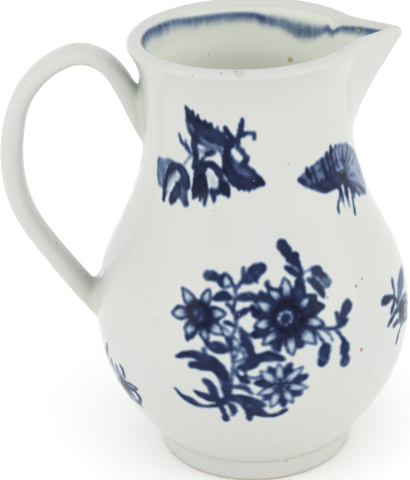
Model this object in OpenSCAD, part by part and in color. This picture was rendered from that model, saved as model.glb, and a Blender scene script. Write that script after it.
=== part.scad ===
// Small baluster cream jug of glazed porcelain, as the potter puts it together:
// a thrown body, a turned foot ring, a pulled loop handle and a pinched beak,
// each fixed to the wall with a thin pad of luting slip.
// Millimetres. +Z is up, +X is the beak's side, the handle is on the -X side, and the
// origin is the centre of the foot ring's resting edge.

/* [Body] */
// Height from the resting edge to the crest of the rim
height = 90; // [84:1:98]
// Outer radius of the belly at its widest
belly_r = 32.2; // [30:0.1:34]
// Height of the widest point of the belly
belly_z = 30.9; // [29:0.1:33]
// Outer radius of the neck at its narrowest
neck_r = 20.5; // [19.5:0.1:22]
// Height at which the neck is narrowest
neck_z = 71.6; // [69:0.1:74]
// Outer radius of the rim's turned-out lip
lip_r = 23.1; // [22.6:0.1:25]
// Thickness of the wall at the neck
neck_wall = 2.1; // [1.8:0.1:2.6]
// Thickness of the wall low in the belly
belly_wall = 2.9; // [2.4:0.1:3.4]

/* [Foot] */
// Height of the foot ring
foot_h = 5.6; // [4:0.1:7]
// Outer radius of the foot ring at its resting edge
foot_r = 19.9; // [18.5:0.1:21]
// Outer radius of the foot ring where it meets the belly
foot_top_r = 21.5; // [20.6:0.1:22.4]
// Width of the foot ring's resting edge
foot_land = 1.3; // [1:0.1:2]

/* [Beak] */
// Distance from the jug's axis to the beak's point
beak_reach = 32; // [29:0.1:34]
// Height at which the beak's keel leaves the neck
beak_low_z = 68; // [66:0.5:70]
// Half width of the beak at its root, level with the rim
beak_root_y = 10; // [9:0.1:11]
// Thickness of the beak's sides
beak_wall = 1.8; // [1.5:0.1:2.2]

/* [Handle] */
// Thickness of the handle, measured towards the jug
handle_t = 4.6; // [4:0.1:5.2]
// Width of the handle, measured across the jug
handle_w = 6.8; // [6:0.1:7.6]
// Thickness of the pads of luting slip
slip_t = 0.6; // [0.4:0.1:0.8]

/* [Hidden] */

$fn = 96;
GLAZED_WHITE = [0.90, 0.91, 0.89];
SLIP_WHITE = [0.86, 0.88, 0.84];
UNDER_Z = foot_h;                    // flat underside of the body, on the foot ring
FLOOR_Z = foot_h + 3.0;              // inside of the floor
FLOOR_R = 15.5;                      // where the floor starts to turn up into the wall
LIP_ROUND = 1.6;                     // radius of the rim's rounded lip
LIP_Z = height - LIP_ROUND;          // centre of that rounding
BELLY_DEPTH = 32.9;                  // half height of the ellipse that rounds the lower belly
CLEAR = 1;                           // how far a cutting shape stands above the rim
FLARE_POWER = 4;                     // how late the neck turns out into the lip
TURN_H = 4;                          // height over which the floor turns up into the wall
LIP_INSIDE = 2.5;                    // from the rounding's centre down to the inner wall's top
SLOPE_STEP = 0.05;                   // half the height over which the wall's slope is measured
WALL_STEPS = 44;                     // profile points up the wall
TURN_STEPS = 6;                      // profile points round the turn of the floor
LIP_STEPS = 8;                       // profile points round the lip
FOOT_BEVEL = 0.3;                    // bevel of the resting edge's outer corner
FOOT_BEND = [0.7, 2.6];              // where the foot's side bends, outwards and up from the edge
FOOT_TOP_W = 5.5;                    // width of the foot ring's flat top
FOOT_HOLLOW = [1.2, 2.4];            // where its inner side bends, inwards and down from the top
HANDLE_SIDES = 20;                   // points round the handle
HANDLE_STEPS = 4;                    // rings between two route points
SQUARENESS = 0.8;                    // 1 is an ellipse, less is a squarer strap
SLIP_SPREAD = 0.7;                   // how far a pad of slip stands out round the handle's end

// Route points that each pad of slip runs along.
UPPER_SLIP_POINTS = 3;
LOWER_SLIP_POINTS = 2;

// Centre line of the handle, [x, z], from inside the neck to inside the belly.
HANDLE_ROUTE = [
    [-17.4, 66.0], [-19.6, 70.5], [-22.2, 75.6], [-24.5, 80.6], [-27.3, 84.8], [-31.6, 86.8],
    [-37.2, 85.2], [-42.3, 80.4], [-45.7, 73.6], [-47.1, 66.0], [-46.7, 58.4], [-44.2, 50.8],
    [-40.0, 43.8], [-35.6, 37.2], [-30.9, 30.8], [-27.0, 25.6]
];

// ---- profile of the wall -------------------------------------------------

function belly_low(z) = belly_r * sqrt(1 - pow((belly_z - z) / BELLY_DEPTH, 2));
function shoulder(z) = neck_r + (belly_r - neck_r) * (1 + cos(180 * (z - belly_z) / (neck_z - belly_z))) / 2;
function flare(z) = neck_r + (lip_r - neck_r) * pow((z - neck_z) / (LIP_Z - neck_z), FLARE_POWER);
function outer_r(z) = z < belly_z ? belly_low(z) : z < neck_z ? shoulder(z) : flare(z);

function slope(z) = (outer_r(z + SLOPE_STEP) - outer_r(z - SLOPE_STEP)) / (2 * SLOPE_STEP);
function wall_share(z) = min(1, max(0, (z - FLOOR_Z) / (neck_z - FLOOR_Z)));
function wall_t(z) = belly_wall + (neck_wall - belly_wall) * wall_share(z);
function inner_r(z) = outer_r(z) - wall_t(z) * sqrt(1 + pow(slope(z), 2));

function wall_z(i, low, high) = low + (high - low) * i / WALL_STEPS;
INNER_LOW_Z = FLOOR_Z + TURN_H;
INNER_HIGH_Z = LIP_Z - LIP_INSIDE;

outer_wall = [for (i = [0:WALL_STEPS]) let (z = wall_z(i, UNDER_Z, LIP_Z)) [outer_r(z), z]];
lip_arc = [for (i = [1:LIP_STEPS]) let (a = 180 * i / LIP_STEPS)
    [lip_r - LIP_ROUND + LIP_ROUND * cos(a), LIP_Z + LIP_ROUND * sin(a)]];
inner_wall = [for (i = [WALL_STEPS:-1:0]) let (z = wall_z(i, INNER_LOW_Z, INNER_HIGH_Z)) [inner_r(z), z]];
// The floor turns up into the wall along a quarter of an ellipse.
floor_turn = [for (i = [1:TURN_STEPS]) let (a = 90 * i / TURN_STEPS)
    [FLOOR_R + (inner_r(INNER_LOW_Z) - FLOOR_R) * cos(a), FLOOR_Z + TURN_H * (1 - sin(a))]];

module pot_profile() {
    polygon(concat([[0, UNDER_Z]], outer_wall, lip_arc, inner_wall, floor_turn, [[0, FLOOR_Z]]));
}

// The space inside the wall's outer surface, grown outwards by gap.
module envelope(gap) {
    rotate_extrude() polygon(concat(
        [[0, UNDER_Z]],
        [for (p = outer_wall) [p[0] + gap, p[1]]],
        [[lip_r + gap, height + CLEAR], [0, height + CLEAR]]));
}

// ---- closed solid from rings of equal length -----------------------------

module rings_to_solid(rings) {
    n = len(rings[0]);
    last = len(rings) - 1;
    sides = [for (k = [0:last - 1], i = [0:n - 1]) let (a = k * n + i, b = k * n + (i + 1) % n) each
        [[a, b + n, b], [a, a + n, b + n]]];
    bottom = [for (i = [0:n - 1]) i];
    top = [for (i = [n - 1:-1:0]) last * n + i];
    polyhedron(points = [for (r = rings) each r], faces = concat(sides, [bottom, top]), convexity = 6);
}

// ---- body and foot -------------------------------------------------------

module body() {
    color(GLAZED_WHITE) difference() {
        rotate_extrude() pot_profile();
        beak_notch();
    }
}

module foot_ring() {
    color(GLAZED_WHITE) rotate_extrude() polygon([
        [foot_r - foot_land, 0], [foot_r - FOOT_BEVEL, 0], [foot_r, FOOT_BEVEL],
        [foot_r + FOOT_BEND[0], FOOT_BEND[1]], [foot_top_r, foot_h], [foot_top_r - FOOT_TOP_W, foot_h],
        [foot_r - foot_land - FOOT_HOLLOW[0], foot_h - FOOT_HOLLOW[1]]
    ]);
}

// ---- beak ----------------------------------------------------------------

KEEL_POWER = 1.33;                   // how the keel sweeps out towards the point
ROOT_POWER = 0.28;                   // how quickly the root widens above the keel's low end
KEEL_ROUND = 0.72;                   // radius of the keel's edge
KEEL_CLEAR = 1.6;                    // least distance from the root's plane to the keel
KEEL_OUT = 0.1;                      // how far the keel's low end stands out from the neck
THIN_ROOT = 0.36;                    // most of the root's half width that one side takes up
OUTSIDE_UP = 0.4;                    // height of the outside's first level above the keel's low end
INSIDE_UP = 4;                       // height of the inside's first level above it
NOTCH_UP = 6;                        // height of the notch's bottom above it
NOTCH_DEPTH = 3.4;                   // depth of the notch's rounded bottom
NOTCH_BACK = 8;                      // how far behind the root's plane the notch starts
NOTCH_LENGTH = 14;                   // length of the notch, along the beak
EDGE_TURN = 80;                      // degrees through which the top edge is rounded over
EDGE_SHARE = 0.56;                   // share of the thickness at the top of that edge
BEAK_SLIP_SPREAD = 0.25;             // how far the pad of slip stands out beside the beak
ROOT_X = 19.3;                       // plane in which the root half widths are measured
BACK_X = 15;                         // how far the wedge reaches into the neck before it is cut back
BEAK_STEPS = 10;                     // levels up the beak
KEEL_SIDES = 6;                      // faces round the keel's edge
RIM_STEPS = 4;                       // levels in the rounding of its top edge
NOTCH_SIDES = 8;                     // faces round the notch's bottom

function beak_share(z) = max(0, (z - beak_low_z) / (height - beak_low_z));
function keel_x(z) = neck_r + KEEL_OUT + (beak_reach - neck_r - KEEL_OUT) * pow(beak_share(z), KEEL_POWER);
function root_y(z) = beak_root_y * pow(beak_share(z), ROOT_POWER);
function half_angle(z) = atan(root_y(z) / (keel_x(z) - ROOT_X));
// How far the inside of the beak's root stands in from its outside.
function root_inset(z, inset) = min(inset / cos(half_angle(z)), THIN_ROOT * root_y(z));

// One level of the beak, [z, inset]: from the back round the keel, its sides moved in by inset.
function beak_level(level) =
    let (z = level[0],
         inset = level[1],
         keel = keel_x(z) - inset / sin(half_angle(z)),
         side_y = root_y(z) - root_inset(z, inset),
         root_x = min(ROOT_X, keel - KEEL_CLEAR),
         a = atan(side_y / (keel - root_x)),
         centre = keel - KEEL_ROUND / sin(a))
    concat(
        [[BACK_X - inset, -side_y, z], [root_x, -side_y, z]],
        [for (i = [0:KEEL_SIDES]) let (t = (90 - a) * (2 * i / KEEL_SIDES - 1))
            [centre + KEEL_ROUND * cos(t), KEEL_ROUND * sin(t), z]],
        [[root_x, side_y, z], [BACK_X - inset, side_y, z]]);

function beak_z(i, low) = low + (height - beak_wall / 2 - low) * i / BEAK_STEPS;
// The outside, its top edge rounded over by half the thickness.
beak_outside = concat(
    [for (i = [0:BEAK_STEPS]) [beak_z(i, beak_low_z + OUTSIDE_UP), 0]],
    [for (i = [1:RIM_STEPS]) let (t = EDGE_TURN * i / RIM_STEPS)
        [height - beak_wall / 2 * (1 - sin(t)), beak_wall / 2 * (1 - cos(t))]]);
// The inside, its top edge rounded over to meet it.
beak_inside = concat(
    [for (i = [0:BEAK_STEPS]) [beak_z(i, beak_low_z + INSIDE_UP), beak_wall]],
    [for (i = [1:RIM_STEPS]) let (t = EDGE_TURN * i / RIM_STEPS)
        [height - beak_wall / 2 * (1 - sin(t)), beak_wall / 2 * (1 + cos(t))]],
    [[height + CLEAR, beak_wall * EDGE_SHARE]]);

module wedge(levels) {
    rings_to_solid([for (level = levels) beak_level(level)]);
}

// The way that the cream takes through the wall of the neck, a notch seen along the beak.
function notch_y(z) = root_y(z) - root_inset(z, beak_wall);
NOTCH_LOW_Z = beak_low_z + NOTCH_UP;
module beak_notch() {
    low = notch_y(NOTCH_LOW_Z);
    top = notch_y(height + CLEAR);
    translate([ROOT_X - NOTCH_BACK, 0, 0]) rotate([90, 0, 90]) linear_extrude(NOTCH_LENGTH) polygon(concat(
        [[-top, height + CLEAR]],
        [for (i = [0:NOTCH_SIDES]) let (a = 180 + 180 * i / NOTCH_SIDES)
            [low * cos(a), NOTCH_LOW_Z + NOTCH_DEPTH * (1 + sin(a))]],
        [[top, height + CLEAR]]));
}

module beak() {
    color(GLAZED_WHITE) difference() {
        wedge(beak_outside);
        wedge(beak_inside);
        envelope(slip_t);
    }
}

module beak_slip() {
    color(SLIP_WHITE) difference() {
        intersection() {
            wedge([for (level = beak_outside) [level[0], level[1] - BEAK_SLIP_SPREAD]]);
            envelope(slip_t);
        }
        wedge(beak_inside);
        envelope(0);
    }
}

// ---- handle --------------------------------------------------------------

function spline(a, b, c, d, t) = 0.5 * (2 * b + (c - a) * t + (2 * a - 5 * b + 4 * c - d) * t * t
    + (3 * b - a - 3 * c + d) * t * t * t);
function route_point(k, t) =
    spline(HANDLE_ROUTE[k - 1], HANDLE_ROUTE[k], HANDLE_ROUTE[k + 1], HANDLE_ROUTE[k + 2], t);
handle_line = concat(
    [for (k = [1:len(HANDLE_ROUTE) - 3], i = [0:HANDLE_STEPS - 1]) route_point(k, i / HANDLE_STEPS)],
    [HANDLE_ROUTE[len(HANDLE_ROUTE) - 2]]);

function power(v) = sign(v) * pow(abs(v), SQUARENESS);
// A strap section round point k of a line, spread outwards by grow.
function strap(line, k, grow) =
    let (last = len(line) - 1,
         along = line[min(last, k + 1)] - line[max(0, k - 1)],
         out = [along[1], -along[0]] / norm(along))
    [for (i = [0:HANDLE_SIDES - 1]) let (a = 360 * i / HANDLE_SIDES,
        u = (handle_t / 2 + grow) * power(cos(a)), v = (handle_w / 2 + grow) * power(sin(a)))
        [line[k][0] + out[0] * u, v, line[k][1] + out[1] * u]];

module strap_solid(first, last, grow) {
    rings_to_solid([for (k = [first:last]) strap(handle_line, k, grow)]);
}

module handle() {
    color(GLAZED_WHITE) difference() {
        strap_solid(0, len(handle_line) - 1, 0);
        envelope(slip_t);
    }
}

module handle_slip(first, last) {
    color(SLIP_WHITE) difference() {
        intersection() {
            strap_solid(first, last, SLIP_SPREAD);
            envelope(slip_t);
        }
        envelope(0);
    }
}

module upper_handle_slip() {
    handle_slip(0, UPPER_SLIP_POINTS * HANDLE_STEPS);
}

module lower_handle_slip() {
    handle_slip(len(handle_line) - 1 - LOWER_SLIP_POINTS * HANDLE_STEPS, len(handle_line) - 1);
}

body();
foot_ring();
beak();
beak_slip();
handle();
upper_handle_slip();
lower_handle_slip();
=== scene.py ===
"""Porcelain cream jug: the thrown wall, beak, handle, foot ring, slip and blue painting.

Everything is worked out in millimetres, in the frame's own axes (+Z up, +X towards the beak),
and turned into metres only when a mesh is made.
"""
import math

import bmesh
import bpy
import numpy as np
from mathutils import Matrix, Vector


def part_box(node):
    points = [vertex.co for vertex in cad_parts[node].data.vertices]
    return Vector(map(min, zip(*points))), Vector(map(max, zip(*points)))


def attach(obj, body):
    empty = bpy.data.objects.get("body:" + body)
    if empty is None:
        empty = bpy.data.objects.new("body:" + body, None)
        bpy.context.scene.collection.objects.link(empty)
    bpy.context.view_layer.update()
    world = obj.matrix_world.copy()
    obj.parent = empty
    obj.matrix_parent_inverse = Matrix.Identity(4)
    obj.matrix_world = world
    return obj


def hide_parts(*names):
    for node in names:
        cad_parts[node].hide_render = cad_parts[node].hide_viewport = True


bl_info = {
    "name": "Porcelain Cream Jug",
    "version": (1, 0, 0),
    "blender": (4, 5, 0),
    "location": "3D View > Sidebar > Cream Jug",
    "description": "Makes a blue and white porcelain cream jug piece by piece",
    "category": "Object",
}

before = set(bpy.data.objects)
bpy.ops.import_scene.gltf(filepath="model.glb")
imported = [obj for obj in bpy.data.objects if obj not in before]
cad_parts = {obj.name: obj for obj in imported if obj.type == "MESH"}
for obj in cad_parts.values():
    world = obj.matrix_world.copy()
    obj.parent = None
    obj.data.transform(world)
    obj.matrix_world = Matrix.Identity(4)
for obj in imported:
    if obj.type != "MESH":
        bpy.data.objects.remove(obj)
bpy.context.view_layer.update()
MM = 0.001
FULL_TURN = 2 * math.pi

BODY_BOX, FOOT_BOX, BEAK_BOX = ([np.array(corner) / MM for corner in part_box(node)]
                                for node in ("body", "foot_ring", "beak"))


# ---- settings -------------------------------------------------------------


def millimetres(name, description, default):
    """A length property, shown in the scene's units and stored in metres."""
    return bpy.props.FloatProperty(name=name, description=description, default=default * MM,
                                   unit="LENGTH", precision=5)


def degrees(name, description, default):
    return bpy.props.FloatProperty(name=name, description=description,
                                   default=math.radians(default), unit="ROTATION")


def amount(name, description, default, low=0.0, high=1.0):
    return bpy.props.FloatProperty(name=name, description=description, default=default,
                                   min=low, max=high)


def colour(name, description, default):
    return bpy.props.FloatVectorProperty(name=name, description=description, default=default,
                                         size=3, subtype="COLOR", min=0.0, max=1.0)


class JUG_PG_wall(bpy.types.PropertyGroup):
    """Sizes of the thrown wall and its rim."""
    height: millimetres("Height", "From the resting edge to the crest of the rim", BODY_BOX[1][2])
    foot_top: millimetres("Underside", "Height of the underside, where the foot ring ends",
                          BODY_BOX[0][2])
    lip_round: millimetres("Lip round", "Half the thickness of the rounded rim", 1.62)
    neck_wall: millimetres("Neck wall", "Thickness of the wall at the neck", 2.1)
    belly_wall: millimetres("Belly wall", "Thickness of the wall low in the belly", 2.9)
    floor_wall: millimetres("Floor", "Thickness of the floor", 3.0)
    ripple: millimetres("Throwing rings", "Depth of the rings left by the potter's fingers", 0.03)
    sway: millimetres("Sway", "How far the rim and belly are from truly round", 0.07)


class JUG_PG_beak(bpy.types.PropertyGroup):
    """Sizes of the folded beak."""
    reach: millimetres("Reach", "Distance from the axis to the point", BEAK_BOX[1][0])
    low: millimetres("Low end", "Height at which the keel leaves the neck", 68.0)
    root_half: millimetres("Root half width", "Half width of the root, level with the rim", 9.7)
    wall: millimetres("Wall", "Thickness of the beak's sides", 1.9)
    keel_round: millimetres("Keel round", "How softly the two sides meet", 1.5)
    seam_round: millimetres("Seam round", "How softly slip and glaze fill the seam", 1.0)


class JUG_PG_handle(bpy.types.PropertyGroup):
    """Sizes of the pulled strap."""
    thickness: millimetres("Thickness", "Thickness of the strap, towards the jug", 4.5)
    width: millimetres("Width", "Width of the strap, across the jug", 6.6)
    stretch: amount("Stretch", "Share of its thickness that the strap loses over its arch", 0.25)
    squareness: amount("Squareness", "1 is an ellipse, less is a squarer strap", 0.76, 0.6, 1.0)
    collar: millimetres("Collar", "How far the slip spreads on the wall round each end", 1.2)
    unevenness: millimetres("Unevenness", "Depth of the dents left by the fingers", 0.1)


class JUG_PG_foot(bpy.types.PropertyGroup):
    """Sizes of the foot ring."""
    edge_radius: millimetres("Edge radius", "Outer radius at the resting edge", 19.9)
    top_radius: millimetres("Top radius", "Outer radius under the belly", FOOT_BOX[1][0])
    land: millimetres("Resting edge", "Width of the bare resting edge", 1.3)
    segments: bpy.props.IntProperty(name="Segments", description="Steps round the ring",
                                    default=192, min=48)


class JUG_PG_paint(bpy.types.PropertyGroup):
    """The cobalt painting under the glaze."""
    dark: colour("Heavy cobalt", "Colour where the brush was fullest", (0.0003, 0.0005, 0.010))
    middle: colour("Cobalt", "Colour of an ordinary stroke", (0.013, 0.022, 0.074))
    thin: colour("Thin cobalt", "Colour of a thin stroke", (0.085, 0.135, 0.240))
    pale: colour("Washed cobalt", "Colour of a faint wash", (0.270, 0.345, 0.430))
    bleed: millimetres("Bleed", "How far the colour has crept in the glaze", 0.23)


class JUG_PG_glaze(bpy.types.PropertyGroup):
    """The glaze over everything, and the painted bounce light inside the jug."""
    white: colour("White", "Glaze over the white body", (0.556, 0.565, 0.539))
    # Painted light: inner is a brighter, greener colour for the inside of the jug, standing in for light
    # bounced round the inside, not a glaze of its own.
    inner: colour("Inside", "Glaze inside the jug", (0.852, 0.880, 0.785))
    pooled: colour("Pooled glaze", "Glaze where it lies thick", (0.450, 0.490, 0.400))
    bare: colour("Bare clay", "Unglazed resting edge", (0.500, 0.430, 0.310))
    speck: colour("Iron speck", "Small burnt specks", (0.130, 0.075, 0.035))
    roughness: amount("Roughness", "Roughness of the glaze", 0.09)
    seed: bpy.props.IntProperty(name="Speck seed", description="Where the specks fall", default=7)
    specks: bpy.props.IntProperty(name="Specks", description="Specks on a square decimetre",
                                  default=28, min=0)


class JUG_PG_stage(bpy.types.PropertyGroup):
    """Camera, lights and floor."""
    elevation: degrees("Elevation", "How far the camera looks down", 25.99)
    roll: degrees("Roll", "Turn of the camera about its own line of sight", -2.31)
    distance: millimetres("Distance", "From the camera to the point it looks at", 325.2)
    aim_x: millimetres("Aim X", "Where the camera looks, across", -9.36)
    aim_z: millimetres("Aim Z", "Where the camera looks, upwards", 45.8)
    lens: bpy.props.FloatProperty(name="Lens", description="Focal length in millimetres, for a "
                                  "36 mm sensor", default=119.22, min=20.0)
    floor: colour("Floor", "Plain pale floor", (0.98, 0.98, 0.98))
    sky: amount("Surround", "Strength of the even white surround", 1.05, 0.0, 5.0)
    key: amount("Key light", "Watts of the soft light on the left", 2.30, 0.0, 50.0)
    fill: amount("Fill light", "Watts of the soft light on the right", 2.50, 0.0, 50.0)


class JUG_PG_settings(bpy.types.PropertyGroup):
    """Everything that a user would change."""
    wall: bpy.props.PointerProperty(type=JUG_PG_wall)
    beak: bpy.props.PointerProperty(type=JUG_PG_beak)
    handle: bpy.props.PointerProperty(type=JUG_PG_handle)
    foot: bpy.props.PointerProperty(type=JUG_PG_foot)
    paint: bpy.props.PointerProperty(type=JUG_PG_paint)
    glaze: bpy.props.PointerProperty(type=JUG_PG_glaze)
    stage: bpy.props.PointerProperty(type=JUG_PG_stage)


# ---- small helpers --------------------------------------------------------


def natural_spline(knots, values):
    """Returns a function that runs smoothly through the knots, straight at both ends."""
    knots, values = np.asarray(knots, float), np.asarray(values, float)
    gap = np.diff(knots)
    rise = np.diff(values) / gap
    count = len(knots)
    matrix = np.eye(count)
    right = np.zeros(count)
    for i in range(1, count - 1):
        matrix[i, i - 1:i + 2] = gap[i - 1], 2 * (gap[i - 1] + gap[i]), gap[i]
        right[i] = 6 * (rise[i] - rise[i - 1])
    bend = np.linalg.solve(matrix, right)

    def curve(x):
        x = np.asarray(x, float)
        k = np.clip(np.searchsorted(knots, x) - 1, 0, count - 2)
        left, after, h = x - knots[k], knots[k + 1] - x, gap[k]
        return ((bend[k] * after ** 3 + bend[k + 1] * left ** 3) / (6 * h)
                + (values[k] / h - bend[k] * h / 6) * after
                + (values[k + 1] / h - bend[k + 1] * h / 6) * left)

    return curve


def smooth_path(points, spacing):
    """Points at even spacing along a smooth curve through the given ones."""
    points = np.asarray(points, float)
    if len(points) == 1:
        return points
    chord = np.concatenate([[0], np.cumsum(np.linalg.norm(np.diff(points, axis=0), axis=1))])
    curves = [natural_spline(chord, column) for column in points.T]
    fine = np.linspace(0, chord[-1], max(8, int(chord[-1] / spacing * 3)))
    dense = np.stack([curve(fine) for curve in curves], -1)
    length = np.concatenate([[0], np.cumsum(np.linalg.norm(np.diff(dense, axis=0), axis=1))])
    wanted = np.linspace(0, length[-1], max(2, int(round(length[-1] / spacing)) + 1))
    place = np.interp(wanted, length, fine)
    return np.stack([curve(place) for curve in curves], -1)


def smooth_max(a, b, softness):
    return np.maximum(a, b) + np.maximum(softness - np.abs(a - b), 0) ** 2 / (4 * softness)


def smooth_min(a, b, softness):
    return -smooth_max(-a, -b, softness)


def ease(x):
    x = np.clip(x, 0, 1)
    return x * x * (3 - 2 * x)


def unit(vectors):
    return vectors / np.maximum(np.linalg.norm(vectors, axis=-1, keepdims=True), 1e-12)


def waves(x, y, z, seed, count=7, low=0.6, high=1.6):
    """Smooth, repeatable unevenness from -1 to 1 or so, over points in any unit."""
    rng = np.random.default_rng(seed)
    total = np.zeros(np.broadcast(x, y, z).shape)
    for _ in range(count):
        direction = unit(rng.normal(size=3)) * rng.uniform(low, high)
        total += np.sin(direction[0] * x + direction[1] * y + direction[2] * z
                        + rng.uniform(0, FULL_TURN))
    return total / math.sqrt(count)


def make_mesh(name, points, faces, normals=None, attributes=()):
    """A smooth-shaded mesh object in metres from points in millimetres."""
    mesh = bpy.data.meshes.new(name)
    mesh.from_pydata(np.asarray(points) * MM, [], faces)
    mesh.polygons.foreach_set("use_smooth", np.ones(len(mesh.polygons), bool))
    for key, values in attributes:
        layer = mesh.attributes.new(key, "FLOAT", "POINT")
        layer.data.foreach_set("value", np.asarray(values, np.float32))
    if mesh.validate(clean_customdata=False):
        raise RuntimeError(f"{name} has faces that are not valid")
    mesh.update()
    if normals is not None:
        mesh.normals_split_custom_set_from_vertices(np.asarray(normals))
    piece = bpy.data.objects.new(name, mesh)
    bpy.context.scene.collection.objects.link(piece)
    return piece


def hand_over(piece, material, slot, *nodes):
    """Gives a finished piece its material and its place in the frame."""
    piece.data.materials.clear()
    piece.data.materials.append(material)
    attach(piece, "root")
    if nodes:
        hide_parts(*nodes)


# ---- the wall's form -------------------------------------------------------

# Outer radius of the wall at listed heights; the rim is added above them.
WALL_HEIGHTS = (6, 11, 16, 22, 29, 36, 43, 50, 57, 63, 69, 75, 81, 86)
WALL_RADII = (21.9, 25.55, 28.6, 31.0, 32.2, 31.9, 30.1, 26.9, 23.7, 21.8, 20.8, 20.6, 20.75, 21.9)
LIP_RADIUS = 23.1
FLARE = 6.0                        # depth of the rim's flare, which the beak's keel starts below
NECK_Z = 70.0                      # height by which the wall has thinned to the neck's thickness
SWELL_Z, SWELL_RUN = 83.5, 5.0     # where it thickens again to the lip, and over how much height
SLANT_TOP_Z = 80.0                 # below this the thickness is measured square to the wall
FLOOR_TURN = 4.5                   # height of the rounded turn from the floor into the wall
FLOOR_FLAT = 0.62                  # share of the inside radius over which the floor is flat
FLOOR_CROWN = 0.3                  # rise in the middle of the floor
UNDER_HOLLOW = 0.25                # hollow turned into the underside
RINGS_OUTSIDE, RINGS_INSIDE = 1.15, 0.95       # throwing rings, in radians for a millimetre
INSIDE_RIPPLE = 1.6                # how much deeper the rings are inside
KEEL_SPARE = 0.45                  # how far past the point the keel aims before it is rounded
KEEL_BOW, ROOT_BOW = 1.33, 0.28    # how the keel and the root's width grow with height
ROOT_X = 19.2                      # distance from the axis to the root of the beak's sides
SIDE_FADE, LOW_FADE = 0.3, 1.2     # how fast the beak sinks into the wall beside and below itself
BEAK_INSIDE_ROUND = 1.4            # how softly the beak's channel meets the inside of the wall
PROFILE_STEPS = 1200

# A place on the skin is an azimuth and a section station: under the floor, up the outside,
# over the lip, down the inside and in across the floor.
UNDER, OUTSIDE, LIP, INSIDE, FLOOR, END = -1.0, 0.0, 1.0, 2.0, 3.0, 4.0


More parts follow.
